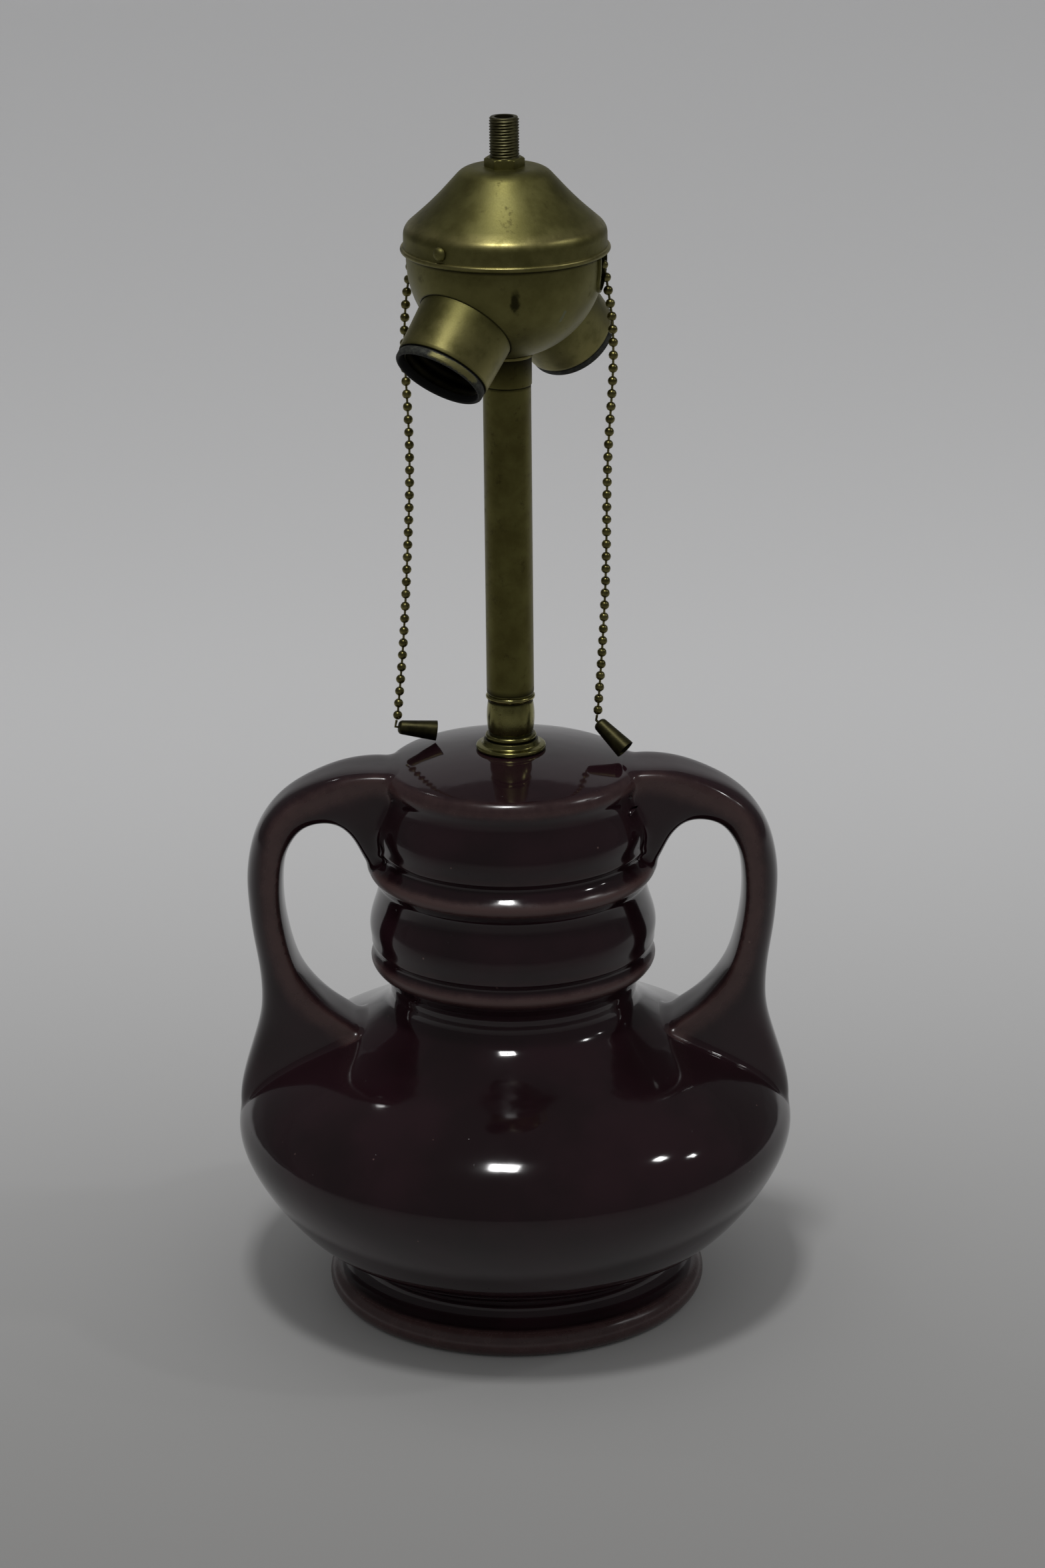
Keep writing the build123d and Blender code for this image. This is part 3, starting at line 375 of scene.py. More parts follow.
def outline_distance(points, outline):
    """Return signed distances and outward directions from 3-D points to the spun outline."""
    radii = np.hypot(points[:, 0], points[:, 1])
    flat = np.stack([radii, points[:, 2]], axis=1)
    start, end = outline[:-1], outline[1:]
    run = end - start
    square = (run ** 2).sum(axis=1)
    distance, outward = np.empty(len(points)), np.empty((len(points), 2))
    for first in range(0, len(points), BATCH):
        here = flat[first:first + BATCH]
        share = ((here[:, None] - start) * run).sum(axis=2) / square
        foot = start + np.clip(share, 0, 1)[..., None] * run
        gap = here[:, None] - foot
        away = np.linalg.norm(gap, axis=2)
        best = away.argmin(axis=1)
        rows = np.arange(len(here))
        gap, away, along = gap[rows, best], away[rows, best], run[best]
        normal = np.stack([along[:, 1], -along[:, 0]], axis=1)
        normal /= np.linalg.norm(normal, axis=1)[:, None]
        side = np.where((gap * normal).sum(axis=1) < 0, -1, 1)
        distance[first:first + BATCH] = away * side
        clear = (away > 0.02 * MM)[:, None]
        straight = gap / np.maximum(away, 1e-9)[:, None] * side[:, None]
        outward[first:first + BATCH] = np.where(clear, straight, normal)
    round_axis = points[:, :2] / np.maximum(radii, 1e-9)[:, None]
    return distance, np.concatenate([round_axis * outward[:, :1], outward[:, 1:]], axis=1)


def handle_rows(sign):
    """Return the corner grid of one handle strap, row by row from neck to shoulder."""
    table = np.array(HANDLE_SHARES)
    rise = HANDLE_TOP - HANDLE_FOOT
    centres = np.stack([
        HANDLE_SPAN * (table[:, 0] + table[:, 2]) / 2, rise * (table[:, 1] + table[:, 3]) / 2,
    ], axis=1)
    rows = cubic_through(np.concatenate([centres, table], axis=1), HANDLE_ROWS)[:, 2:]
    angles = np.arange(HANDLE_STEPS) * math.tau / HANDLE_STEPS
    sine, cosine = np.sin(angles), np.cos(angles)
    grid = []
    for inner_x, inner_z, outer_x, outer_z, width, squareness, ridge_share in rows:
        inner = np.array((HANDLE_SPAN * inner_x, 0, HANDLE_FOOT + rise * inner_z))
        outer = np.array((HANDLE_SPAN * outer_x, 0, HANDLE_FOOT + rise * outer_z))
        thickness = np.linalg.norm(outer - inner)
        outward = (outer - inner) / thickness
        ridge = thickness * ridge_share
        reach = np.where(
            cosine > 0, np.abs(cosine) ** (2 / squareness) * (thickness - ridge),
            -np.abs(cosine) ** (2 / HANDLE_INNER_SQUARENESS) * ridge,
        )
        across = HANDLE_HALF_WIDTH * width * np.sign(sine) * np.abs(sine) ** (2 / squareness)
        section = inner + outward * (ridge + reach)[:, None]
        section[:, 1] = across
        section[:, 0] *= sign
        grid.append(section)
    return np.array(grid)


def strap_faces(rows, columns):
    """Return the faces of a strap with a cap at each end."""
    near_end = tuple(range(columns))[::-1]
    far_end = tuple((rows - 1) * columns + k for k in range(columns))
    return ring_faces(rows, columns, closed=False) + [near_end, far_end]


def face_outward(piece):
    """Turn all faces of a closed piece outward."""
    work = bmesh.new()
    work.from_mesh(piece.data)
    bmesh.ops.remove_doubles(work, verts=work.verts, dist=1e-7)
    bmesh.ops.recalc_face_normals(work, faces=work.faces)
    work.to_mesh(piece.data)
    work.free()


def applied(piece):
    """Return the piece with its modifiers made part of its mesh."""
    depsgraph = bpy.context.evaluated_depsgraph_get()
    mesh = bpy.data.meshes.new_from_object(piece.evaluated_get(depsgraph))
    piece.modifiers.clear()
    piece.data = mesh
    return piece


def handle_distance(points, tree):
    """Return signed distances and outward directions from points to a handle strap."""
    distance, outward = np.empty(len(points)), np.empty((len(points), 3))
    for index, point in enumerate(points):
        place = Vector(point)
        foot, normal, _, away = tree.find_nearest(place)
        gap = place - foot
        side = -1 if gap.dot(normal) < 0 else 1
        distance[index] = away * side
        outward[index] = gap * (side / away) if away > 0.05 * MM else normal
    return distance, outward


def blended(points, outline, tree):
    """Return the distance to the vase and handle run together with a fillet, and its direction."""
    vase_gap, vase_out = outline_distance(points, outline)
    strap_gap, strap_out = handle_distance(points, tree)
    vase_gap = vase_gap + HANDLE_SINK
    fillet = np.interp(points[:, 2], FILLET_LEVELS, FILLET_WIDTHS)
    share = np.clip(0.5 + 0.5 * (strap_gap - vase_gap) / fillet, 0, 1)
    gap = between(strap_gap, vase_gap, share) - fillet * share * (1 - share)
    outward = between(strap_out, vase_out, share[:, None])
    outward /= np.linalg.norm(outward, axis=1)[:, None]
    return gap, outward


def make_handle(side, sign):
    """Make one handle strap, run into the vase by a glazed fillet all round."""
    grid = handle_rows(sign)
    rows, columns = grid.shape[:2]
    strap = new_piece(f"{side}_handle", grid.reshape(-1, 3), strap_faces(rows, columns))
    face_outward(strap)
    tree = BVHTree.FromPolygons(
        [v.co for v in strap.data.vertices], [tuple(p.vertices) for p in strap.data.polygons]
    )
    outline = np.array(vase_outside(), float)
    core_verts, core_faces = spin([(0.001, 0.02)] + list(outline) + [(0.001, VASE_TOP)], CORE_SEGMENTS)
    core = new_piece("core", core_verts, core_faces)
    face_outward(core)
    merged = bpy.data.objects.new("merged", strap.data.copy())
    bpy.context.collection.objects.link(merged)
    with_core = merged.modifiers.new("core", "BOOLEAN")
    with_core.object, with_core.operation, with_core.solver = core, "UNION", "EXACT"
    remesh = merged.modifiers.new("remesh", "REMESH")
    remesh.mode, remesh.voxel_size = "VOXEL", HANDLE_VOXEL * 1
    applied(merged)
    mesh = merged.data
    points = np.empty(len(mesh.vertices) * 3, np.float32)
    mesh.vertices.foreach_get("co", points)
    points = points.reshape(-1, 3).astype(float)
    corners = grid.reshape(-1, 3)
    low, high = corners.min(axis=0) - HANDLE_MARGIN, corners.max(axis=0) + HANDLE_MARGIN
    near = ((points > low) & (points < high)).all(axis=1)
    near[near] = handle_distance(points[near], tree)[0] < max(FILLET_WIDTHS) + HANDLE_REACH
    faces = np.array([tuple(p.vertices) for p in mesh.polygons])
    faces = largest_island(faces[near[faces].all(axis=1)], len(points))
    used, faces = np.unique(faces, return_inverse=True)
    faces = faces.reshape(-1, 4)
    points = points[used]
    for _ in range(SETTLING_ROUNDS):
        gap, outward = blended(points, outline, tree)
        points -= outward * gap[:, None]
        points = eased(points, faces, outward, SETTLING_SHARE)
    gap, outward = blended(points, outline, tree)
    points -= outward * gap[:, None]
    for old in (core, merged):
        bpy.data.objects.remove(old)
    handle = new_piece(f"{side}_handle", points, faces.tolist())
    bpy.data.objects.remove(strap)
    mark(handle, "thin_glaze", handle_thinness(points, faces, grid))
    wall = handle.modifiers.new("wall", "SOLIDIFY")
    wall.thickness, wall.offset = HANDLE_WALL, -1
    applied(handle)
    for vertex in handle.data.vertices:
        reach = math.hypot(vertex.co.x, vertex.co.y)
        if reach > BELLY_RADIUS:
            vertex.co.xy *= BELLY_RADIUS / reach
    handle.name = f"{side}_handle"
    return handle


def edge_pairs(faces):
    """Return each edge of the quads once."""
    pairs = np.concatenate([faces[:, [0, 1]], faces[:, [1, 2]], faces[:, [2, 3]], faces[:, [3, 0]]])
    return np.unique(np.sort(pairs, axis=1), axis=0)


def largest_island(faces, count):
    """Return the quads of the largest part that hangs together."""
    pairs = edge_pairs(faces)
    label, before = np.arange(count), None
    while before is None or (label != before).any():
        before = label
        label = before.copy()
        low = before[pairs].min(axis=1)
        np.minimum.at(label, pairs[:, 0], low)
        np.minimum.at(label, pairs[:, 1], low)
        label = label[label]
    first = label[faces[:, 0]]
    return faces[first == np.bincount(first).argmax()]


def neighbour_mean(values, pairs):
    """Return the mean of each point's neighbours."""
    total, count = np.zeros_like(values), np.zeros(len(values))
    for a, b in ((0, 1), (1, 0)):
        np.add.at(total, pairs[:, a], values[pairs[:, b]])
        np.add.at(count, pairs[:, a], 1)
    count = np.maximum(count, 1)
    return total / (count[:, None] if values.ndim > 1 else count)


def eased(points, faces, outward, share):
    """Slide points along the surface towards their neighbours' middle, border points excepted."""
    pairs = edge_pairs(faces)
    shift = neighbour_mean(points, pairs) - points
    shift -= outward * (shift * outward).sum(axis=1)[:, None]
    degree = np.bincount(pairs.ravel(), minlength=len(points))
    sides = np.bincount(faces.ravel(), minlength=len(points))
    shift[degree != sides] = 0
    return points + shift * share


def handle_thinness(points, faces, grid):
    """Return how thin the glaze runs on the ridge lines of a handle, 0 to 1."""
    widest = np.concatenate([grid[:, HANDLE_STEPS // 4], grid[:, 3 * HANDLE_STEPS // 4]])
    ridge = np.empty(len(points))
    for first in range(0, len(points), BATCH):
        gaps = np.linalg.norm(points[first:first + BATCH, None] - widest, axis=2)
        ridge[first:first + BATCH] = gaps.min(axis=1)
    thin = np.exp(-(ridge / RIDGE_WIDTH) ** 2)
    pairs = edge_pairs(faces)
    bend = points - neighbour_mean(points, pairs)
    for _ in range(6):
        bend = between(bend, neighbour_mean(bend, pairs), 0.5)
    away = np.linalg.norm(bend, axis=1)
    centre = points - np.array((np.sign(points[:, 0].mean()) * HANDLE_MIDDLE, 0, 0))
    sharp = np.clip(away / (0.05 * MM) - 0.4, 0, 1) * (np.einsum("ij,ij->i", bend, centre) > 0)
    return np.clip(RIDGE_SHARE * thin + SHARP_SHARE * sharp, 0, 1)


class Reading:
    """One output among a material's nodes; adding, taking away, multiplying and dividing add Math nodes."""

    def __init__(self, paint, socket):
        self.paint, self.socket = paint, socket

    def maths(self, operation, first, second=0.0):
        return self.paint.node("ShaderNodeMath", {"operation": operation}, {0: first, 1: second})

    def __add__(self, other):
        return self.maths("ADD", self, other)

    def __sub__(self, other):
        return self.maths("SUBTRACT", self, other)

    def __rsub__(self, other):
        return self.maths("SUBTRACT", other, self)

    def __mul__(self, other):
        return self.maths("MULTIPLY", self, other)

    def __truediv__(self, other):
        return self.maths("DIVIDE", self, other)

    def __pow__(self, other):
        return self.maths("POWER", self, other)

    def floor_at(self, other):
        return self.maths("MAXIMUM", self, other)

    __radd__, __rmul__ = __add__, __mul__


class Paint:
    """A material under construction."""

    def __init__(self, name, **constants):
        self.material = bpy.data.materials.new(name)
        self.material.use_nodes = True
        self.tree = self.material.node_tree
        self.shader = self.tree.nodes["Principled BSDF"]
        for key, value in constants.items():
            self.shader.inputs[key.replace("_", " ").title().replace("Ior", "IOR")].default_value = value

    def node(self, kind, settings=None, inputs=None, output=0):
        """Add a node with its settings and sockets and return one of its outputs."""
        made = self.tree.nodes.new(kind)
        for key, value in (settings or {}).items():
            setattr(made, key, value)
        for key, value in (inputs or {}).items():
            self.feed(made.inputs[key], value)
        return Reading(self, made.outputs[output])

    def feed(self, socket, value):
        """Link a reading into a socket, or set the socket."""
        if isinstance(value, Reading):
            self.tree.links.new(value.socket, socket)
        else:
            socket.default_value = value

    def place(self):
        return self.node("ShaderNodeTexCoord", output="Object")

    def stretched(self, scale):
        """Return the piece's own coordinates stretched along each axis."""
        return self.node("ShaderNodeMapping", {}, {"Vector": self.place(), "Scale": scale})

    def noise(self, size, detail=3.0, roughness=0.5, distortion=0.0, where=None):
        """Return smooth noise from 0 to 1 whose patches are about as wide as a size in metres."""
        return self.node("ShaderNodeTexNoise", {}, {
            "Vector": where or self.place(), "Scale": 1 / size, "Detail": detail,
            "Roughness": roughness, "Distortion": distortion,
        })

    def spots(self, size, where=None):
        """Return the distance from scattered points about a size apart, as a share of the size."""
        return self.node("ShaderNodeTexVoronoi", {}, {"Vector": where or self.place(), "Scale": 1 / size})

    def mask(self, value, start, end):
        """Return 0 below start and 1 above end, or the reverse when end is the smaller."""
        return self.node("ShaderNodeMapRange", {"interpolation_type": "SMOOTHSTEP"}, {
            "Value": value, "From Min": min(start, end), "From Max": max(start, end),
            "To Min": 0.0 if start < end else 1.0, "To Max": 1.0 if start < end else 0.0,
        })

    def mixed(self, share, first, second):
        """Return a mix of two colours by a share."""
        mix = self.tree.nodes.new("ShaderNodeMix")
        mix.data_type = "RGBA"
        self.feed(mix.inputs[0], share)
        for socket, colour in ((mix.inputs[6], first), (mix.inputs[7], second)):
            self.feed(socket, colour if isinstance(colour, Reading) else (*colour, 1))
        return Reading(self, mix.outputs[2])

    def vector(self, operation, first, second=(0, 0, 0), output="Vector"):
        return self.node("ShaderNodeVectorMath", {"operation": operation}, {0: first, 1: second}, output)

    def away_from(self, point):
        """Return the way from a point to here."""
        return self.vector("SUBTRACT", self.place(), point)

    def split(self, offset, axis):
        """Return how far an offset runs along an axis and how far it lies from it."""
        axis = axis.normalized()
        run = self.vector("DOT_PRODUCT", offset, axis, output="Value")
        across = self.vector("LENGTH", self.vector("CROSS_PRODUCT", offset, axis), output="Value")
        return run, across

    def attribute(self, name):
        return self.node("ShaderNodeAttribute", {"attribute_name": name}, output="Fac")

    def axis(self, index):
        """Return one of the piece's own coordinates."""
        return self.node("ShaderNodeSeparateXYZ", {}, {0: self.place()}, output=index)

    def bumped(self, height, distance, strength=1.0, under=None):
        inputs = {"Height": height, "Distance": distance, "Strength": strength}
        if under:
            inputs["Normal"] = under
        return self.node("ShaderNodeBump", {}, inputs)

    def coat(self, **varying):
        """Feed the varying inputs of the shader and return the finished material."""
        for key, value in varying.items():
            self.feed(self.shader.inputs[key.replace("_", " ").title()], value)
        return self.material


def aubergine_glaze():
    """Dark aubergine gloss glaze, thin and pinkish on ridges, with waves, specks and pinholes."""
    paint = Paint("aubergine_glaze", specular_ior_level=0.5, ior=1.55)
    thin = paint.attribute("thin_glaze")
    cloud = paint.noise(34 * MM, detail=4)
    mottle = paint.noise(5 * MM, detail=5, roughness=0.65)
    body = paint.mixed(paint.mask(cloud, 0.35, 0.65), (0.0100, 0.0043, 0.0056), (0.0162, 0.0063, 0.0088))
    patchy = paint.mask(thin + (mottle - 0.5) * 0.45, 0.1, 0.95)
    colour = paint.mixed(patchy, body, (0.062, 0.033, 0.031))
    specks = paint.mask(paint.spots(13 * MM), 0.035, 0.02)
    colour = paint.mixed(specks * 0.5, colour, (0.16, 0.1, 0.09))
    waves = paint.bumped(paint.noise(16 * MM, detail=2), 0.14 * MM)
    pits = paint.bumped(paint.mask(paint.spots(7 * MM), 0.05, 0.02), -0.06 * MM, under=waves)
    rough = paint.mask(paint.noise(22 * MM, detail=5), 0.3, 0.8) * 0.05 + patchy * 0.3 + 0.06
    return paint.coat(base_color=colour, roughness=rough, normal=pits)


def metal(
        name, low, high, roughness, grain=(1.0, 1.0, 1.0),
        stain=(0.05, 0.034, 0.018), stain_share=0.4, size=9 * MM):
    """Aged brass or steel with clouded tone, stains, fine handling marks, worn edges lightened with painted
    highlight and seams darkened with grime and painted shade.
    """
    paint = Paint(name, metallic=1.0)
    cloud = paint.noise(size, detail=5, roughness=0.6)
    fine = paint.noise(0.5 * MM, detail=3, where=paint.stretched(grain))
    tone = paint.mixed(paint.mask(cloud, 0.3, 0.7), low, high)
    marks = paint.mask(paint.noise(size * 0.45, detail=7, roughness=0.7), 0.56, 0.72)
    tone = paint.mixed(marks * stain_share, tone, stain)
    grime_and_shade, wear_and_highlight = paint.attribute("grime_and_shade"), paint.attribute("wear_and_highlight") * paint.mask(cloud, 0.25, 0.6)
    # Worn bands are lightened towards worn brass: painted highlight lines on rounded edges, partly real wear.
    tone = paint.mixed(wear_and_highlight * 0.75, tone, WORN_AND_LIT_BRASS)
    # Seam and groove bands are darkened towards the grime tone: painted shade between parts, partly real
    # grime.
    tone = paint.mixed(grime_and_shade * 0.9, tone, GRIME_AND_SHADE)
    rough = paint.mask(cloud, 0.2, 0.8) * 0.1 + (roughness - 0.05) + marks * 0.12 + (fine - 0.5) * 0.08
    rough = rough - wear_and_highlight * 0.16 + grime_and_shade * 0.2
    return paint.coat(base_color=tone, roughness=rough, normal=paint.bumped(fine, 0.012 * MM))


class Growth:
    """A Geometry Nodes tree under construction, with named sizes as its inputs."""

    def __init__(self, name, sizes):
        self.tree = bpy.data.node_groups.new(name, "GeometryNodeTree")
        face = self.tree.interface
        face.new_socket("Geometry", in_out="INPUT", socket_type="NodeSocketGeometry")
        self.keys = {
            size: face.new_socket(size, in_out="INPUT", socket_type="NodeSocketFloat").identifier
            for size in sizes
        }
        face.new_socket("Geometry", in_out="OUTPUT", socket_type="NodeSocketGeometry")
        self.start = self.tree.nodes.new("NodeGroupInput")
        self.end = self.tree.nodes.new("NodeGroupOutput")

    def size(self, name):
        return self.start.outputs[name]

    def node(self, kind, inputs=None, **settings):
        """Add a node with its settings and sockets and return it."""
        made = self.tree.nodes.new(kind)
        for key, value in settings.items():
            setattr(made, key, value)
        for key, value in (inputs or {}).items():
            if isinstance(value, bpy.types.NodeSocket):
                self.tree.links.new(value, made.inputs[key])
            else:
                made.inputs[key].default_value = value
        return made

    def finish(self, grown, material):
        """End the tree in real geometry with a material."""
        real = self.node("GeometryNodeRealizeInstances", {"Geometry": grown})
        painted = self.node("GeometryNodeSetMaterial", {"Geometry": real.outputs[0], "Material": material})
        self.tree.links.new(painted.outputs[0], self.end.inputs[0])

    def grow(self, piece, **sizes):
        """Run the tree on a piece and leave it a plain mesh."""
        growth = piece.modifiers.new("growth", "NODES")
        growth.node_group = self.tree
        for size, value in sizes.items():
            growth[self.keys[size.replace("_", " ").capitalize()]] = value
        return applied(piece)


def ball_chain_growth(material):
    """Beads on every point of a path with a wire link between them."""
    grow = Growth("ball_chain", ("Bead radius", "Link radius"))
    path = grow.node("GeometryNodeMeshToCurve", {"Mesh": grow.start.outputs["Geometry"]}).outputs[0]
    ring = grow.node("GeometryNodeCurvePrimitiveCircle", {
        "Resolution": 8, "Radius": grow.size("Link radius"),
    })
    wire = grow.node("GeometryNodeCurveToMesh", {
        "Curve": path, "Profile Curve": ring.outputs[0], "Fill Caps": True,
    })
    ball = grow.node("GeometryNodeMeshUVSphere", {
        "Segments": 12, "Rings": 8, "Radius": grow.size("Bead radius"),
    })
    smooth = grow.node("GeometryNodeSetShadeSmooth", {"Geometry": ball.outputs[0]})
    lie = grow.node("FunctionNodeAlignRotationToVector", {
        "Vector": grow.node("GeometryNodeInputTangent").outputs[0],
    }, axis="Z")
    beads = grow.node("GeometryNodeInstanceOnPoints", {
        "Points": path, "Instance": smooth.outputs[0], "Rotation": lie.outputs[0],
    })
    both = grow.node("GeometryNodeJoinGeometry", {"Geometry": beads.outputs[0]})
    grow.tree.links.new(wire.outputs[0], both.inputs[0])
    grow.finish(both.outputs[0], material)
    return grow


# Brass stack and cluster
PIPE_RADIUS = 4.925 * MM
PIPE_BORE_RADIUS = 3.2 * MM
BORE_RADIUS = 5.225 * MM
SHEET = 0.8 * MM
BOWL_RADIUS = 32.5 * MM
CAP_BEAD_RADIUS = 0.925 * MM
CAP_BAND_HEIGHT = 7 * MM
CAP_TOP_RADIUS = 13.4 * MM
SCREW_AZIMUTH = 231.0
SCREW_ABOVE_BEAD = 3.8 * MM
SCREW_HEAD_RADIUS = 2.35 * MM
SCREW_HEAD_HEIGHT = 1.7 * MM
BOWL_CENTRE = node_box("cluster_sleeve")[1].z + math.sqrt(BOWL_RADIUS ** 2 - (8.3 * MM) ** 2)
CAP_BEAD_LEVEL = node_box("cluster_cap")[0].z + CAP_BEAD_RADIUS
CAP_TOP = node_box("cluster_cap")[1].z
CAP_BORE_RADIUS = BOWL_RADIUS + 0.15 * MM
THREAD_PITCH = 0.94 * MM

# Sockets
SOCKET_AZIMUTH = {"left": 230.0, "right": 50.0}
SOCKET_TILT = 46.0
SOCKET_PIVOT_RISE = 2.6 * MM
SHELL_START = 26.8 * MM
SHELL_LENGTH = 20 * MM
SHELL_ROOT_RADIUS = 16.5 * MM
SHELL_MOUTH_RADIUS = 15.9 * MM
SHELL_WALL = 0.55 * MM
LINER_RIM_STANDOUT = 3.5 * MM
LINER_RIM_RADIUS = 15.55 * MM
LINER_RIM_LENGTH = 3.1 * MM
LINER_WALL = 0.95 * MM
LINER_RADIUS = SHELL_MOUTH_RADIUS - SHELL_WALL - 0.3 * MM
SCREW_SHELL_RADIUS = 13.75 * MM
SCREW_SHELL_WALL = 0.45 * MM
SCREW_SHELL_SETBACK = 2.7 * MM
SOCKET_DISC = 2.5 * MM
BULB_THREAD_PITCH = 3.63 * MM

# Chains and bells
SLOT_AZIMUTH = {"left": 160.0, "right": -12.0}
GUIDE_REACH = BOWL_RADIUS - 4.1 * MM
GUIDE_LEVEL = BOWL_CENTRE + 1.1 * MM
SLOT_BOTTOM = BOWL_CENTRE + 9.2 * MM - 18.5 * MM
BEAD_RADIUS = 1.6 * MM
BEAD_PITCH = 4.354 * MM
LINK_RADIUS = 0.4 * MM
CHAIN_BEND_RADIUS = 4.6 * MM
CHAIN_STANDOFF = 1.9 * MM
CHAIN_SHARES = ((0.35, 0.09), (0.62, 0.3), (0.85, 0.66))
BEAD_GAP = 0.3 * MM
BELL_MOUTH_RADIUS = 3.5 * MM
BELL_END_RADIUS = 2.4 * MM
BELL_LENGTH = 13.3 * MM
BELL_WALL = 0.45 * MM
BELL_EYE_RADIUS = 0.8 * MM
BELL_CLEARANCE = {"left": 0.45 * MM, "right": 1.4 * MM}
BELL_CONTACT_RADIUS = {"left": 29.8 * MM, "right": 36.9 * MM}
BELL_CONTACT_AZIMUTH = {"left": 150.7, "right": -3.4}
BELL_HEADING = {"left": 5.7, "right": -31.7}
BELL_DROOP = {"left": 8.3, "right": 37.1}

# Brass tones (the worn tone also paints highlight lines on edges, the grime tone also paints shade in seams),
# and the place of the rubbed patch on a liner's rim
WORN_ANGLE = math.radians(37)
SATIN_LOW = (0.15, 0.138, 0.045)
SATIN_HIGH = (0.22, 0.205, 0.073)
WORN_AND_LIT_BRASS = (0.42, 0.37, 0.15)
GRIME_AND_SHADE = (0.012, 0.010, 0.006)


def rounded(corners, step=0.25 * MM):
    """Return an open outline through (radius, level, round) corners with each corner rounded."""
    line = [tuple(corners[0][:2])]
    for before, here, after in zip(corners, corners[1:], corners[2:]):
        a, b, c = [np.array(p[:2], float) for p in (before, here, after)]
        into, out = (b - a) / np.linalg.norm(b - a), (c - b) / np.linalg.norm(c - b)
        turn = math.acos(max(-1, min(1, float(into @ out))))
        reach = (here[2] if len(here) > 2 else 0) * math.tan(turn / 2)
        if reach < 1e-7:
            line.append(tuple(b))
            continue
        count = max(int(here[2] * turn / step), 3)
        shares = np.linspace(0, 1, count + 1)
        start, end = b - into * reach, b + out * reach
        weight = math.cos(turn / 2)
        for s in shares:
            parts = np.array(((1 - s) ** 2, 2 * s * (1 - s) * weight, s ** 2))
            line.append(tuple((parts[0] * start + parts[1] * b + parts[2] * end) / parts.sum()))
    line.append(tuple(corners[-1][:2]))
    return line


def sheet_of(line, thickness):
    """Return the closed outline of sheet metal behind an outer line that runs upward."""
    line = np.array(line)
    run = np.gradient(line, axis=0)
    inward = np.stack([-run[:, 1], run[:, 0]], axis=1)
    inward /= np.linalg.norm(inward, axis=1)[:, None]
    return list(line) + list((line + inward * thickness)[::-1])


def turned_piece(name, outline, segments=96, place=None, sharp_angle=35, grime_and_shade=(), wear_and_highlight=()):
    """Make a closed turned piece and mark its seams, darkened by grime and painted shade, and its worn edges,
    lightened by wear and painted highlight, each a level and a width.
    """
    piece = new_piece(name, *spin(outline, segments), sharp_angle=sharp_angle)
    levels = np.array(outline, float)[:, 1]
    for layer, bands in (("grime_and_shade", grime_and_shade), ("wear_and_highlight", wear_and_highlight)):
        shares = [np.exp(-((levels - level) / width) ** 2) for level, width in bands]
        if shares:
            mark(piece, layer, np.repeat(np.max(shares, axis=0), segments))
    if place:
        piece.data.transform(place)
    return piece


def threaded_piece(name, bore, levels, crest, pitch, depth, segments=72, place=None, wall=None, turned_in=1):
    """Make a tube with a screw thread of even depth that fades at both ends."""
    angles = np.arange(segments) / segments
    phase = (np.array(levels)[:, None] / pitch - angles * turned_in) % 1
    cut = depth * (0.5 - 0.5 * np.cos(phase * math.tau)) if wall else depth * np.abs(2 * phase - 1)
    low, high = levels[0], levels[-1]
    edge = np.minimum(np.array(levels) - low, high - np.array(levels)) / (pitch * 0.6)
    fade = np.clip(edge, 0, 1)[:, None]
    outer = crest - depth * (1 - fade) * (0 if wall else 1) - cut * (fade if not wall else 1)
    inner = outer[::-1] - wall if wall else np.full((2, segments), bore)
    inner_levels = np.array(levels[::-1]) if wall else np.array((high, low))
    radii = np.concatenate([outer, inner])
    heights = np.concatenate([np.array(levels), inner_levels])[:, None] + 0 * angles
    turn = angles * math.tau
    verts = np.stack([radii * np.cos(turn), radii * np.sin(turn), heights], axis=2).reshape(-1, 3)
    piece = new_piece(name, verts, ring_faces(len(radii), segments), sharp_angle=60)
    if place:
        piece.data.transform(place)
    return piece


def steps(start, end, size):
    """Return evenly spaced values from start to end no further apart than a size."""
    return list(np.linspace(start, end, max(int(math.ceil((end - start) / size)), 1) + 1))


def along(azimuth, radius, level):
    """Return the point at a radius and a level on the half plane of an azimuth."""
    angle = math.radians(azimuth)
    return Vector((radius * math.cos(angle), radius * math.sin(angle), level))


def facing(origin, axis, across):
    """Return the matrix that sets a piece at an origin with its +Z along an axis."""
    axis = axis.normalized()
    across = (across - axis * across.dot(axis)).normalized()
    turn = Matrix((across, axis.cross(across), axis)).transposed().to_4x4()
    return Matrix.Translation(origin) @ turn


def socket_place(side, distance):
    """Return the matrix of a socket's axis at a distance from the lamp axis."""
    tilt = math.radians(SOCKET_TILT)
    outward = along(SOCKET_AZIMUTH[side], math.cos(tilt), -math.sin(tilt))
    across = along(SOCKET_AZIMUTH[side] + 90, 1, 0)
    pivot = Vector((0, 0, BOWL_CENTRE + SOCKET_PIVOT_RISE))
    return facing(pivot + outward * distance, outward, across)


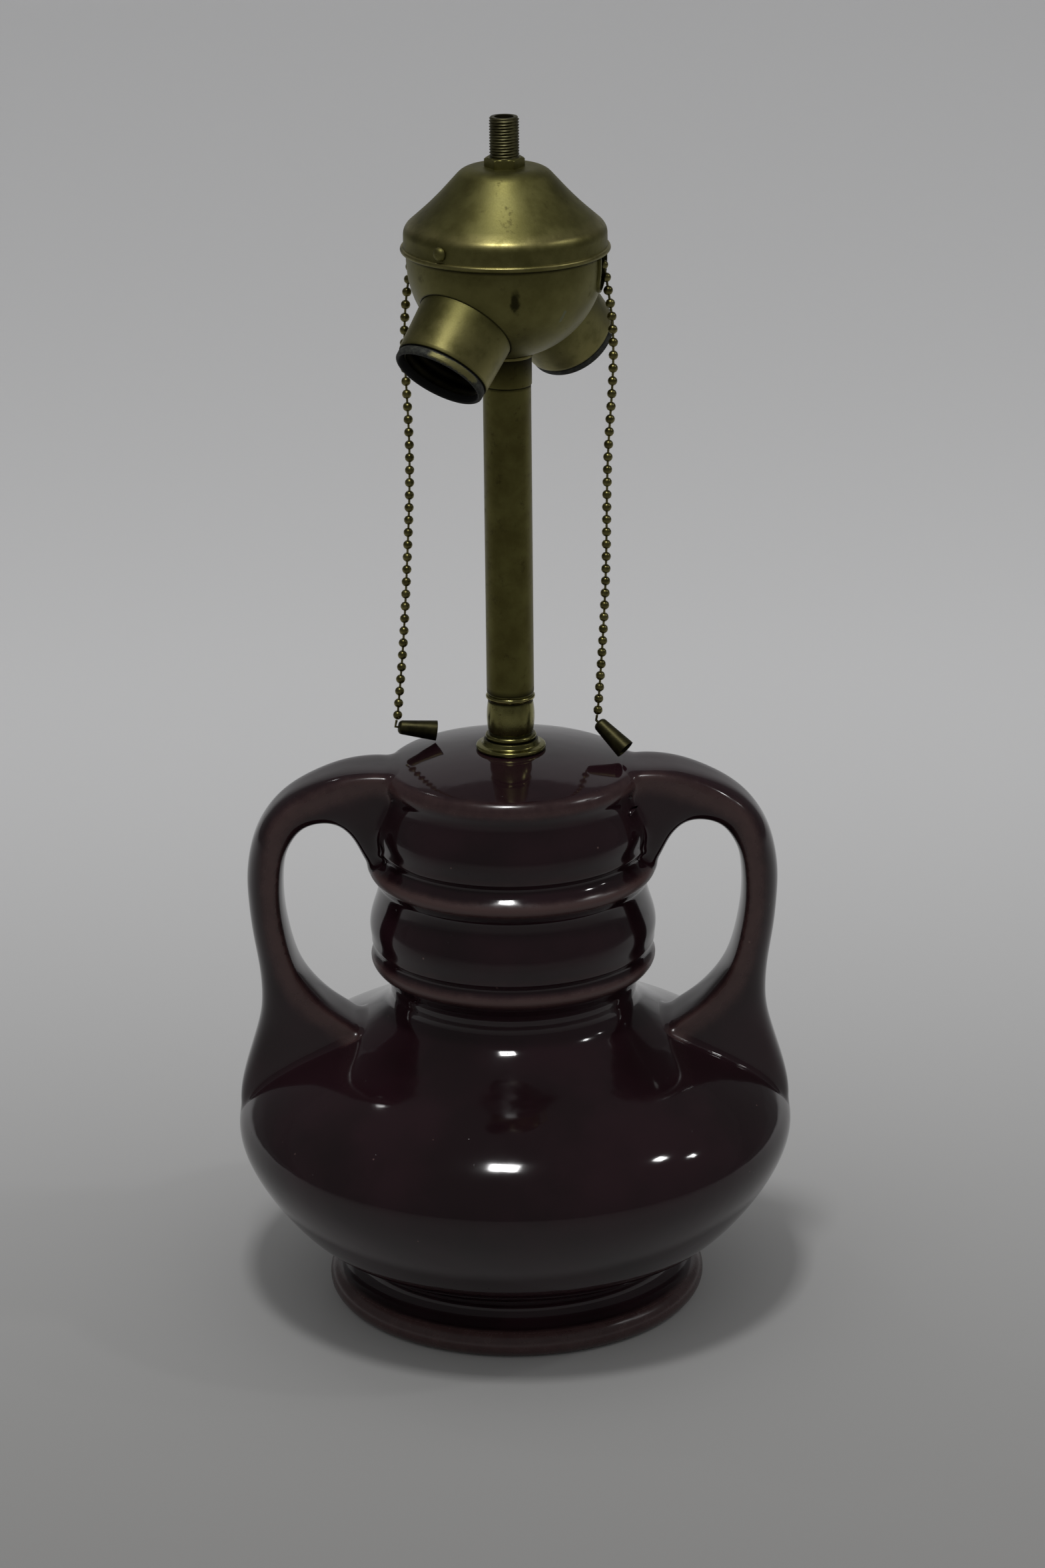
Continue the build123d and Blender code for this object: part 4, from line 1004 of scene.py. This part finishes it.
def make_cap():
    """Make the cap: rolled bead, upright band, soft-shouldered cone and small flat top."""
    outer = CAP_BORE_RADIUS + SHEET
    bead = CAP_BORE_RADIUS + CAP_BEAD_RADIUS
    band_top = CAP_BEAD_LEVEL + CAP_BAND_HEIGHT
    roll = arc_through(
        (bead - CAP_BEAD_RADIUS, CAP_BEAD_LEVEL), (bead, CAP_BEAD_LEVEL - CAP_BEAD_RADIUS),
        (bead + CAP_BEAD_RADIUS, CAP_BEAD_LEVEL), 0.15 * MM,
    )
    roll += arc_through(
        (bead + CAP_BEAD_RADIUS, CAP_BEAD_LEVEL),
        (bead + 0.6 * CAP_BEAD_RADIUS, CAP_BEAD_LEVEL + 0.8 * CAP_BEAD_RADIUS),
        (outer + 0.1 * MM, CAP_BEAD_LEVEL + CAP_BEAD_RADIUS), 0.15 * MM,
    )[1:]
    dip = (between(outer, CAP_TOP_RADIUS, 0.45) - 0.6 * MM, between(band_top, CAP_TOP, 0.45) - 0.6 * MM)
    shell = rounded([
        (outer, CAP_BEAD_LEVEL + 1.2 * MM), (outer - 0.05 * MM, band_top, 5 * MM), (*dip, 110 * MM),
        (CAP_TOP_RADIUS, CAP_TOP, 7.6 * MM), (BORE_RADIUS - 0.2 * MM, CAP_TOP),
    ], 0.4 * MM)
    inside = rounded([
        (BORE_RADIUS - 0.2 * MM, CAP_TOP - SHEET), (CAP_TOP_RADIUS - 0.3 * MM, CAP_TOP - SHEET, 6.8 * MM),
        (dip[0] - 0.55 * MM, dip[1] - 0.55 * MM, 110 * MM),
        (outer - SHEET, band_top - 0.35 * MM, 4.2 * MM), (CAP_BORE_RADIUS, CAP_BEAD_LEVEL + 1.2 * MM),
    ], 0.6 * MM)
    # Bands on the band's top fillet and over the bead: painted highlight lines as well as wear.
    rubbed = ((band_top + MM, 0.9 * MM), (CAP_BEAD_LEVEL + 0.5 * MM, 0.5 * MM))
    return turned_piece("cap", roll + shell + inside, 160, wear_and_highlight=rubbed)


def make_screws():
    """Make the two domed screws that hold the cap on the bowl."""
    level = CAP_BEAD_LEVEL + SCREW_ABOVE_BEAD
    dome = [(0.02 * MM, -4.2 * MM), (1.3 * MM, -4.2 * MM, 0.2 * MM), (1.45 * MM, 0)]
    head = arc_through(
        (SCREW_HEAD_RADIUS, 0.25 * MM), (SCREW_HEAD_RADIUS * 0.72, SCREW_HEAD_HEIGHT * 0.78),
        (0.02 * MM, SCREW_HEAD_HEIGHT), 0.12 * MM,
    )
    outline = rounded(dome) + [(SCREW_HEAD_RADIUS - 0.1 * MM, 0)] + head
    screws = []
    for turn in (0, 180):
        outward = along(SCREW_AZIMUTH + turn, 1, 0)
        origin = along(SCREW_AZIMUTH + turn, CAP_BORE_RADIUS + SHEET, level)
        screws.append(turned_piece("screw", outline, 40, facing(origin, outward, Vector((0, 0, 1))), 60))
    return joined("screws", screws)


def joined(name, pieces):
    """Return several pieces as one mesh object."""
    verts, faces = [], []
    for piece in pieces:
        start = len(verts)
        verts += [tuple(v.co) for v in piece.data.vertices]
        faces += [tuple(start + i for i in p.vertices) for p in piece.data.polygons]
        bpy.data.objects.remove(piece)
    return new_piece(name, verts, faces, sharp_angle=50)


def make_nipple():
    """Make the threaded nipple with a chamfered lead at its free end."""
    low, high = [corner.z for corner in node_box("top_nipple")]
    return threaded_piece(
        "nipple", PIPE_BORE_RADIUS, steps(low, high, 0.11 * MM), PIPE_RADIUS, THREAD_PITCH, 0.5 * MM)


def make_nut(name, node, bore):
    """Make a hexagon nut whose upper corners are turned off."""
    low, high = node_box(node)
    flats = (high.x - low.x) / 2 * (math.sqrt(3) / 2 if (high.x - low.x) > (high.y - low.y) else 1)
    segments = 96
    angles = np.arange(segments) * math.tau / segments
    offset = 0 if (high.x - low.x) < (high.y - low.y) else math.pi / 6
    hexagon = flats / np.cos((angles + offset + math.pi / 6) % (math.pi / 3) - math.pi / 6)
    chamfer = 0.55 * MM
    rows = [
        (low.z, flats * 1.14), (low.z + chamfer * 0.3, flats * 1.2),
        (high.z - chamfer, flats * 1.2), (high.z - chamfer * 0.5, flats * 1.09), (high.z, flats * 0.99),
    ]
    radii = [np.minimum(hexagon, limit) for _, limit in rows] + [np.full(segments, bore)] * 2
    levels = [level for level, _ in rows] + [high.z, low.z]
    verts = []
    for radius, level in zip(radii, levels):
        verts += list(zip(radius * np.cos(angles), radius * np.sin(angles), [level] * segments))
    return new_piece(name, verts, ring_faces(len(radii), segments), sharp_angle=25)


def make_flange():
    """Make the flange: a flat foot, a rounded edge and a hollow rise to the collar."""
    low, high = node_box("seating_flange")
    edge = high.x
    line = rounded([
        (BORE_RADIUS, low.z), (edge - 0.5 * MM, low.z, 0.3 * MM), (edge, low.z + 0.7 * MM, 0.5 * MM),
        (edge - 0.1 * MM, low.z + 1.7 * MM, 0.7 * MM), (edge - 2.1 * MM, low.z + 2.1 * MM, 0.9 * MM),
        (edge - 2.7 * MM, high.z - 0.2 * MM, 0.4 * MM), (edge - 3.2 * MM, high.z, 0.2 * MM),
        (BORE_RADIUS, high.z),
    ], 0.12 * MM)
    # Bands at the foot and the top: painted shade in the seams, partly grime.
    return turned_piece("flange", line, grime_and_shade=((low.z, 0.5 * MM), (high.z, 0.3 * MM)))


def make_collar():
    """Make the turned collar: rolled foot ring, fine groove and a swelling body."""
    low, high = node_box("turned_collar")
    foot = high.x
    roll = 0.95 * MM
    body = arc_through(
        (7.6 * MM, low.z + 2.7 * MM), (8.1 * MM, between(low.z + 2 * MM, high.z, 0.55)),
        (7.6 * MM, high.z - 0.3 * MM), 0.4 * MM)
    line = [(BORE_RADIUS, low.z)]
    line += arc_through(
        (foot - roll, low.z), (foot, low.z + roll), (foot - roll, low.z + 2 * roll), 0.12 * MM)
    line += [(7.35 * MM, low.z + 2.05 * MM), (7.35 * MM, low.z + 2.45 * MM)]
    line += body + [(7.4 * MM, high.z), (BORE_RADIUS, high.z)]
    # Bands at the foot, the groove and the top: painted shade in the seams, partly grime.
    grime_and_shade_bands = ((low.z, 0.4 * MM), (low.z + 2.25 * MM, 0.45 * MM), (high.z, 0.4 * MM))
    return turned_piece("collar", line, grime_and_shade=grime_and_shade_bands)


def make_bead_ring():
    """Make the round ring between collar and riser, with the thin fillet below it."""
    low, high = node_box("bead_ring")
    edge = high.x
    middle = between(low.z, high.z, 0.45)
    line = [(BORE_RADIUS, low.z), (7.5 * MM, low.z), (7.62 * MM, low.z + 0.35 * MM)]
    line += arc_through(
        (edge - 0.75 * MM, low.z + 0.4 * MM), (edge, middle), (edge - 0.75 * MM, high.z - 0.7 * MM), 0.1 * MM)
    line += [(7.65 * MM, high.z - 0.6 * MM), (7.65 * MM, high.z), (BORE_RADIUS, high.z)]
    # Painted shade in the seams above and below, partly grime, and a painted highlight on the crest, partly
    # wear.
    grime_and_shade_bands = ((low.z, 0.4 * MM), (high.z, 0.4 * MM))
    return turned_piece("ring", line, grime_and_shade=grime_and_shade_bands, wear_and_highlight=((middle, 0.5 * MM),))


def make_riser():
    """Make the riser tube with softened ends."""
    low, high = node_box("riser_tube")
    outer, bore = high.x, high.x - 0.9 * MM
    # Bands at both ends: painted shade in the seams, partly grime.
    return turned_piece("riser", rounded([
        (bore, low.z), (outer - 0.02 * MM, low.z, 0.25 * MM), (outer, low.z + 2 * MM),
        (outer, high.z - 1 * MM), (outer, high.z, 0.2 * MM), (bore, high.z),
    ], 0.08 * MM), 96, grime_and_shade=((low.z, 0.4 * MM), (high.z, 0.25 * MM)))


def make_sleeve():
    """Make the sleeve between riser and bowl, round at its foot, with a lip at its top."""
    low, high = node_box("cluster_sleeve")
    lip = high.x
    radius = lip - 0.35 * MM
    line = rounded([
        (BORE_RADIUS, low.z), (radius, low.z, 0.5 * MM), (radius, high.z - 1.2 * MM, 0.15 * MM),
        (lip - 0.02 * MM, high.z - 1.1 * MM, 0.25 * MM), (lip, high.z - 0.1 * MM, 0.1 * MM),
        (BORE_RADIUS, high.z - 0.02 * MM),
    ], 0.08 * MM)
    # Painted shade at the foot and under the lip, partly grime, and a painted highlight on the lip, partly
    # wear.
    grime_and_shade_bands = ((low.z, 0.3 * MM), (high.z - 1.3 * MM, 0.2 * MM))
    return turned_piece("sleeve", line, grime_and_shade=grime_and_shade_bands, wear_and_highlight=((high.z - 0.6 * MM, 0.4 * MM),))


def make_shell(side):
    """Make a socket shell: a seam ring at the bowl and a turned-in lip at the mouth."""
    root, mouth, end = SHELL_ROOT_RADIUS, SHELL_MOUTH_RADIUS, SHELL_LENGTH
    line = rounded([
        (root - 0.25 * MM, 0), (root - 0.02 * MM, 0.25 * MM, 0.3 * MM), (root - 0.05 * MM, 3 * MM, 2 * MM),
        (mouth, end - 1.2 * MM, 0.8 * MM), (mouth - 0.12 * MM, end - 0.15 * MM, 0.3 * MM),
        (mouth - 0.45 * MM, end),
    ], 0.15 * MM)
    inside = [(mouth - SHELL_WALL, end - 0.1 * MM), (root - SHELL_WALL, 0)]
    # Painted shade at the bowl seam and at the mouth, partly grime, and a painted highlight on the mouth lip,
    # partly wear.
    return turned_piece(
        f"{side}_shell", line + inside, 96, socket_place(side, SHELL_START),
        grime_and_shade=((0, 0.45 * MM), (end, 0.2 * MM)), wear_and_highlight=((end - 0.9 * MM, 0.4 * MM),))


def make_liner(side):
    """Make the liner: a thin sleeve with a thick, rounded rim."""
    end = SHELL_LENGTH + LINER_RIM_STANDOUT
    rim = end - LINER_RIM_LENGTH
    bore = LINER_RADIUS - LINER_WALL
    outline = rounded([
        (bore, SOCKET_DISC), (LINER_RADIUS, SOCKET_DISC), (LINER_RADIUS, rim),
        (LINER_RIM_RADIUS, rim + 0.05 * MM, 0.4 * MM),
        (LINER_RIM_RADIUS, end - 0.8 * MM, 0.9 * MM), (LINER_RIM_RADIUS - 0.9 * MM, end, 0.5 * MM),
        (bore + 0.1 * MM, end - 0.6 * MM, 0.5 * MM), (bore, end - 1.6 * MM, 0.4 * MM), (bore, SOCKET_DISC),
    ], 0.15 * MM)[:-1]
    return turned_piece(f"{side}_liner", outline, 96, socket_place(side, SHELL_START))


def make_screw_shell(side):
    """Make the brass screw shell with its rolled bulb thread."""
    end = SHELL_LENGTH + LINER_RIM_STANDOUT - SCREW_SHELL_SETBACK
    return threaded_piece(
        f"{side}_bulb_thread", None, steps(SOCKET_DISC, end, 0.3 * MM), SCREW_SHELL_RADIUS, BULB_THREAD_PITCH,
        0.55 * MM, 72, socket_place(side, SHELL_START), SCREW_SHELL_WALL)


def bell_place(side):
    """Return the matrix of a bell's closed end, with +Z towards its mouth."""
    heading = along(BELL_HEADING[side], 1, 0)
    droop = math.radians(BELL_DROOP[side])
    axis = heading * math.cos(droop) - Vector((0, 0, math.sin(droop)))
    radius = BELL_CONTACT_RADIUS[side]
    contact = along(BELL_CONTACT_AZIMUTH[side], radius, crown_level(radius) + BELL_CLEARANCE[side])
    rise = Vector((0, 0, math.cos(droop))) + heading * math.sin(droop)
    end = contact + rise * BELL_MOUTH_RADIUS - axis * BELL_LENGTH
    return facing(end, axis, heading.cross(Vector((0, 0, 1))))


def make_bell(side):
    """Make a bell: pierced dome, straight cone and an open, slightly rolled mouth."""
    line = rounded([
        (BELL_EYE_RADIUS, 0.05 * MM), (BELL_END_RADIUS - 0.1 * MM, 0.05 * MM, 1.5 * MM),
        (BELL_MOUTH_RADIUS - 0.05 * MM, BELL_LENGTH - 0.5 * MM, 0.6 * MM),
        (BELL_MOUTH_RADIUS - 0.02 * MM, BELL_LENGTH),
    ], 0.18 * MM)
    return turned_piece(f"{side}_bell", sheet_of(line, BELL_WALL), 48, bell_place(side))


def clamped_through(points, start_way, end_way, count):
    """Return points along a smooth curve through points that leaves and arrives in given directions."""
    points = np.array(points, float)
    gaps = np.linalg.norm(np.diff(points, axis=0), axis=1)
    knots = np.concatenate([[0], np.cumsum(gaps)])
    size = len(points)
    system, right = np.zeros((size, size)), np.zeros_like(points)
    slopes = np.diff(points, axis=0) / gaps[:, None]
    system[0, :2] = 2 * gaps[0], gaps[0]
    right[0] = 6 * (slopes[0] - np.array(start_way))
    system[-1, -2:] = gaps[-1], 2 * gaps[-1]
    right[-1] = 6 * (np.array(end_way) - slopes[-1])
    for i in range(1, size - 1):
        system[i, i - 1:i + 2] = gaps[i - 1], 2 * (gaps[i - 1] + gaps[i]), gaps[i]
        right[i] = 6 * (slopes[i] - slopes[i - 1])
    bends = np.linalg.solve(system, right)
    places = np.linspace(0, knots[-1], count + 1)
    spans = np.clip(np.searchsorted(knots, places, side="right") - 1, 0, size - 2)
    gap, before = gaps[spans][:, None], (places - knots[spans])[:, None]
    after = gap - before
    return (
        (bends[spans] * after ** 3 + bends[spans + 1] * before ** 3) / (6 * gap)
        + (points[spans] / gap - bends[spans] * gap / 6) * after
        + (points[spans + 1] / gap - bends[spans + 1] * gap / 6) * before
    )


def chain_centres(side):
    """Return the bead centres from the guide's mouth, over the slot, down to the bell."""
    azimuth = SLOT_AZIMUTH[side]
    start = GUIDE_REACH + 0.45 * MM
    bend = []
    for angle in np.linspace(0, math.pi / 2, 24):
        over, down = CHAIN_BEND_RADIUS * math.sin(angle), CHAIN_BEND_RADIUS * (1 - math.cos(angle))
        bend.append(along(azimuth, start + over, GUIDE_LEVEL - down))
    slot = along(azimuth, BOWL_RADIUS + CHAIN_STANDOFF, SLOT_BOTTOM - BEAD_RADIUS)
    end = bell_place(side).translation + Vector((0, 0, BELL_END_RADIUS + BEAD_RADIUS + BEAD_GAP))
    points = [bend[-1], slot]
    for down, over in CHAIN_SHARES:
        flat = slot.lerp(end, over)
        points.append(Vector((flat.x, flat.y, between(slot.z, end.z, down))))
    points.append(end)
    arrive = (end - points[-2]).normalized()
    drop = clamped_through(points, (0, 0, -1), arrive, 600)
    path = np.concatenate([np.array(bend)[:-1], drop])
    travelled = np.concatenate([[0], np.cumsum(np.linalg.norm(np.diff(path, axis=0), axis=1))])
    count = round(travelled[-1] / BEAD_PITCH)
    places = np.linspace(0, travelled[-1], count + 1)
    return [Vector([np.interp(p, travelled, path[:, i]) for i in range(3)]) for p in places]


def ball_chain(name, centres, growth):
    """Make beads and the links between them through bead centres."""
    edges = [(i, i + 1) for i in range(len(centres) - 1)]
    mesh = bpy.data.meshes.new(name)
    mesh.from_pydata([tuple(c) for c in centres], edges, [])
    piece = bpy.data.objects.new(name, mesh)
    bpy.context.collection.objects.link(piece)
    return growth.grow(piece, bead_radius=BEAD_RADIUS, link_radius=LINK_RADIUS)


def plain(name, colour, roughness, fleck, fleck_share, size):
    """Fibre or moulding: flecked, slightly dusty and never shiny."""
    paint = Paint(name, roughness=roughness)
    grain = paint.noise(size, detail=6, roughness=0.7)
    tone = paint.mixed(paint.mask(grain, 0.4, 0.7) * fleck_share, colour, fleck)
    return paint.coat(
        base_color=tone, roughness=paint.mask(grain, 0.3, 0.8) * 0.2 + (roughness - 0.1),
        normal=paint.bumped(grain, 0.05 * MM))


def bowl_brass():
    """Satin brass of the bowl: a dark stain and a pale scratch in front, painted shade with grime under the
    cap's bead and round the socket roots.
    """
    paint = Paint("bowl_brass", metallic=1.0)
    cloud = paint.noise(11 * MM, detail=5, roughness=0.6)
    tone = paint.mixed(paint.mask(cloud, 0.3, 0.7), SATIN_LOW, SATIN_HIGH)
    marks = paint.mask(paint.noise(5 * MM, detail=7, roughness=0.7), 0.58, 0.74)
    tone = paint.mixed(marks * 0.35, tone, (0.045, 0.034, 0.015))
    offset = paint.away_from(Vector((2.9 * MM, -31.5 * MM, BOWL_CENTRE - 7.4 * MM)))
    shaped = paint.vector("MULTIPLY", offset, (1.0, 0.2, 0.4))
    ragged = paint.vector("LENGTH", shaped, output="Value")
    ragged = ragged + (paint.noise(1.6 * MM, detail=5) - 0.5) * (2.0 * MM)
    stain = paint.mask(ragged, 2.1 * MM, 0.7 * MM)
    tone = paint.mixed(stain * 0.8, tone, GRIME_AND_SHADE)
    offset = paint.away_from(Vector((18.3 * MM, -22.8 * MM, BOWL_CENTRE - 14.1 * MM)))
    run, across = paint.split(offset, Vector((0.43, -0.2, 0.88)))
    ragged = across + (paint.noise(0.8 * MM, detail=4) - 0.5) * (0.9 * MM)
    scratch = paint.mask(ragged, 0.75 * MM, 0.35 * MM)
    scratch = scratch * paint.mask(run * run, (2.6 * MM) ** 2, (1.7 * MM) ** 2)
    # Painted shade, partly grime: a dark band under the cap's bead and rings round the socket roots.
    grime_and_shade = paint.mask(paint.axis(2), CAP_BEAD_LEVEL - 2.4 * MM, CAP_BEAD_LEVEL - 1.2 * MM)
    for side in SIDES:
        place = socket_place(side, 0)
        run, across = paint.split(paint.away_from(place.translation), place.to_3x3().col[2])
        ring = paint.mask(across, SHELL_ROOT_RADIUS + 0.7 * MM, SHELL_ROOT_RADIUS + 0.1 * MM)
        grime_and_shade = grime_and_shade.floor_at(ring * paint.mask(run, 15 * MM, 20 * MM))
    tone = paint.mixed(grime_and_shade * 0.9, tone, GRIME_AND_SHADE)
    tone = paint.mixed(scratch * 0.55, tone, (0.3, 0.33, 0.24))
    fine = paint.noise(0.5 * MM, detail=3)
    rough = paint.mask(cloud, 0.2, 0.8) * 0.1 + 0.4 + marks * 0.1
    rough = rough + stain.floor_at(scratch) * 0.2 + (fine - 0.5) * 0.08
    return paint.coat(base_color=tone, roughness=rough, normal=paint.bumped(fine, 0.012 * MM))


def worn_liner(side):
    """Liner fibre: dark and dusty outside, painted black as shade inside, with the upper rim rubbed down to
    brass and a painted shadow line at the shell's mouth.
    """
    paint = Paint(f"{side}_worn_liner", metallic=0.0)
    grain = paint.noise(1.3 * MM, detail=7, roughness=0.72)
    place = socket_place(side, 0)
    across, up, axis = [place.to_3x3().col[i] for i in range(3)]
    run, radius = paint.split(paint.away_from(place.translation), axis)
    outside = paint.mask(radius, LINER_RIM_RADIUS - 1.1 * MM, LINER_RIM_RADIUS - 0.6 * MM)
    dust = paint.mixed(paint.mask(grain, 0.4, 0.68), (0.012, 0.013, 0.010), (0.042, 0.044, 0.032))
    # The inside of the liner is painted nearly black as shade.
    tone = paint.mixed(outside, (0.004, 0.004, 0.003), dust)
    rubbed = across * math.cos(WORN_ANGLE) + up * math.sin(WORN_ANGLE)
    aside = paint.vector("DOT_PRODUCT", paint.away_from(place.translation), rubbed, output="Value")
    middle = SHELL_START + SHELL_LENGTH + LINER_RIM_STANDOUT / 2 + 0.1 * MM
    off = ((run - middle) ** 2.0) ** 0.5 + (grain - 0.5) * (2.2 * MM)
    worn = paint.mask(off, 1.25 * MM, 0.8 * MM)
    worn = worn * paint.mask(aside + (grain - 0.5) * (3 * MM), 12.2 * MM, 13.6 * MM) * outside
    tone = paint.mixed(worn, tone, (0.2, 0.185, 0.075))
    # A painted shadow line where the liner leaves the shell's mouth.
    mouth = SHELL_START + SHELL_LENGTH
    mouth_gap_shade = paint.mask(run, mouth + 0.55 * MM, mouth + 0.25 * MM)
    tone = paint.mixed(mouth_gap_shade * 0.9, tone, (0.002, 0.002, 0.002))
    return paint.coat(
        base_color=tone, metallic=worn * 0.85, roughness=0.72 - worn * 0.25,
        normal=paint.bumped(grain, 0.12 * MM))


def make_camera():
    """Set the camera where the photograph was taken from."""
    data = bpy.data.cameras.new("camera")
    data.lens = LENS
    data.sensor_width = SENSOR
    camera = bpy.data.objects.new("camera", data)
    bpy.context.collection.objects.link(camera)
    turn = Matrix.Rotation(math.radians(CAMERA_YAW), 4, "Z")
    turn = turn @ Matrix.Rotation(math.radians(90 - CAMERA_PITCH), 4, "X")
    turn = turn @ Matrix.Rotation(math.radians(CAMERA_ROLL), 4, "Z")
    camera.matrix_world = Matrix.Translation((0, -CAMERA_DISTANCE, CAMERA_HEIGHT)) @ turn
    bpy.context.scene.camera = camera


def make_sweep():
    """Make the paper sweep: a wide floor, a curve and the upright behind, its tone painted with the fall of
    light and shade.
    """
    line = [(y, 0.0) for y in (-SWEEP_EDGE, -20, -8, -5, *steps(-3, SWEEP_FLAT, 0.1))]
    for angle in steps(0.06, math.pi / 2, 0.06):
        line.append((SWEEP_FLAT + SWEEP_CURVE * math.sin(angle), SWEEP_CURVE * (1 - math.cos(angle))))
    line += [(SWEEP_FLAT + SWEEP_CURVE, z) for z in steps(SWEEP_CURVE + 0.05, SWEEP_HEIGHT, 0.25)]
    verts = [(x, y, z) for y, z in line for x in (-SWEEP_EDGE, SWEEP_EDGE)]
    faces = [(2 * i, 2 * i + 1, 2 * i + 3, 2 * i + 2) for i in range(len(line) - 1)]
    sweep = new_piece("sweep", verts, faces)
    paint = Paint("sweep_paper", roughness=0.85, specular_ior_level=0.2)
    # The paper's tone paints light and shade: darker near the front, paler behind the lamp, darker far to
    # either side.
    depth = paint.axis(1)
    tone = paint.mixed(paint.mask(depth, -0.45, 0.75), PAPER_NEAR_SHADE, PAPER_FAR_LIT)
    tone = paint.mixed(paint.mask(depth, 1.0, SWEEP_FLAT), tone, PAPER_LAST_LIT)
    aside = paint.axis(0)
    tone = paint.mixed(paint.mask(aside * aside, 1.2 ** 2, 2.4 ** 2), tone, PAPER_ASIDE_SHADE)
    grain = paint.noise(0.02, detail=5)
    paint.coat(base_color=tone, normal=paint.bumped(grain, 0.0002, 0.3))
    sweep.data.materials.append(paint.material)


def add_light(name, place, target, size, power):
    """Add a plain white square lamp that faces a point."""
    light = bpy.data.lights.new(name, "AREA")
    light.shape = "RECTANGLE"
    light.size, light.size_y = size, size
    light.energy = power
    lamp = bpy.data.objects.new(name, light)
    turn = (target - place).to_track_quat("-Z", "Y").to_matrix().to_4x4()
    lamp.matrix_world = Matrix.Translation(place) @ turn
    bpy.context.collection.objects.link(lamp)


def make_lights():
    """Light the lamp plainly: a soft room, one lamp high in front and three small ones round it."""
    target = Vector((0, 0, LIT_LEVEL))
    for name, azimuth, height, distance, size, power in LAMPS:
        turn, rise = math.radians(azimuth), math.radians(height)
        away = distance * math.cos(rise)
        place = Vector((away * math.sin(turn), -away * math.cos(turn), LIT_LEVEL + distance * math.sin(rise)))
        add_light(name, place, target, size, power)
    room = bpy.data.worlds.new("room")
    bpy.context.scene.world = room
    room.use_nodes = True
    tree = room.node_tree
    background = tree.nodes["Background"]
    background.inputs[0].default_value = (1, 1, 1, 1)
    ray = tree.nodes.new("ShaderNodeLightPath")
    seen = [ray.outputs[f"Is {kind} Ray"] for kind in ("Camera", "Glossy", "Transmission")]
    total = seen[0]
    for kind in seen[1:]:
        either = tree.nodes.new("ShaderNodeMath")
        either.operation = "MAXIMUM"
        tree.links.new(total, either.inputs[0])
        tree.links.new(kind, either.inputs[1])
        total = either.outputs[0]
    strength = tree.nodes.new("ShaderNodeMapRange")
    strength.inputs["To Min"].default_value = ROOM_LIGHT
    strength.inputs["To Max"].default_value = ROOM_SEEN
    tree.links.new(total, strength.inputs["Value"])
    tree.links.new(strength.outputs[0], background.inputs[1])


def show(piece, node, body, material):
    """Let a finished piece stand for a node, on its body, with its material."""
    piece.data.materials.clear()
    piece.data.materials.append(material)
    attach(piece, body)
    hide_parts(node)


def dress(node, material):
    """Give a node that is shown as it is a finished material."""
    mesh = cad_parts[node].data
    mesh.materials.clear()
    mesh.materials.append(material)


bpy.context.scene.view_settings.view_transform = "Standard"
make_camera()
make_sweep()
make_lights()

glaze = aubergine_glaze()
satin = metal("satin_brass", SATIN_LOW, SATIN_HIGH, 0.5, stain=(0.05, 0.036, 0.016), stain_share=0.35)
riser_brass = metal(
    "riser_brass", (0.125, 0.11, 0.033), (0.19, 0.175, 0.056), 0.44, grain=(1, 1, 0.06), stain_share=0.5)
polished = metal(
    "polished_brass", (0.2, 0.185, 0.065), (0.3, 0.28, 0.105), 0.24,
    stain=(0.07, 0.04, 0.018), stain_share=0.85, size=5 * MM)
# Screw shell brass, painted nearly black as the shade deep inside the socket.
shade_darkened_brass = metal(
    "shade_darkened_brass", (0.012, 0.011, 0.006), (0.035, 0.031, 0.016), 0.55, stain_share=0.6, size=5 * MM)
thread_brass = metal("thread_brass", (0.09, 0.08, 0.042), (0.15, 0.14, 0.07), 0.46)
chain_brass = metal(
    "chain_brass", (0.12, 0.107, 0.04), (0.25, 0.225, 0.085), 0.32, stain_share=0.7, size=3 * MM)
bell_brass = metal(
    "bell_brass", (0.046, 0.042, 0.02), (0.08, 0.073, 0.032), 0.44, stain_share=0.5, size=4 * MM)
steel = metal(
    "plated_steel", (0.3, 0.29, 0.26), (0.46, 0.45, 0.42), 0.38, stain=(0.12, 0.06, 0.03), size=6 * MM)
moulding = plain("dark_moulding", (0.013, 0.011, 0.01), 0.5, (0.05, 0.045, 0.04), 0.4, 1.5 * MM)

show(make_vase(), "vase_body", "lamp", glaze)
for side, sign in (("left", -1), ("right", 1)):
    show(make_handle(side, sign), "vase_body", "lamp", glaze)
show(make_cap(), "cluster_cap", "lamp", satin)
show(make_screws(), "cap_screws", "lamp", satin)
show(make_nipple(), "top_nipple", "lamp", thread_brass)
show(make_nut("top_nut", "top_locknut", 4.65 * MM), "top_locknut", "lamp", satin)
show(make_flange(), "seating_flange", "lamp", polished)
show(make_collar(), "turned_collar", "lamp", polished)
show(make_bead_ring(), "bead_ring", "lamp", polished)
show(make_riser(), "riser_tube", "lamp", riser_brass)
show(make_sleeve(), "cluster_sleeve", "lamp", riser_brass)
chains = ball_chain_growth(chain_brass)
for side in SIDES:
    show(make_shell(side), f"{side}_socket_shell", "lamp", satin)
    show(make_liner(side), f"{side}_socket_liner", "lamp", worn_liner(side))
    show(make_screw_shell(side), f"{side}_screw_shell", "lamp", shade_darkened_brass)
    show(make_bell(side), f"{side}_chain_bell", f"{side}_bell", bell_brass)
    chain = ball_chain(f"{side}_chain", chain_centres(side), chains)
    show(chain, f"{side}_pull_chain", f"{side}_chain", chain_brass)
    dress(f"{side}_centre_contact", polished)
    dress(f"{side}_socket_body", moulding)
    dress(f"{side}_switch_body", moulding)
    dress(f"{side}_switch_bracket", steel)
    dress(f"{side}_chain_guide", polished)
    dress(f"{side}_chain_lead", chain_brass)
    dress(f"{side}_bell_link", chain_brass)
dress("cluster_bowl", bowl_brass())
for node in ("base_washer", "base_locknut", "lamp_pipe", "bowl_washer", "bowl_locknut", "inner_locknut"):
    dress(node, steel)
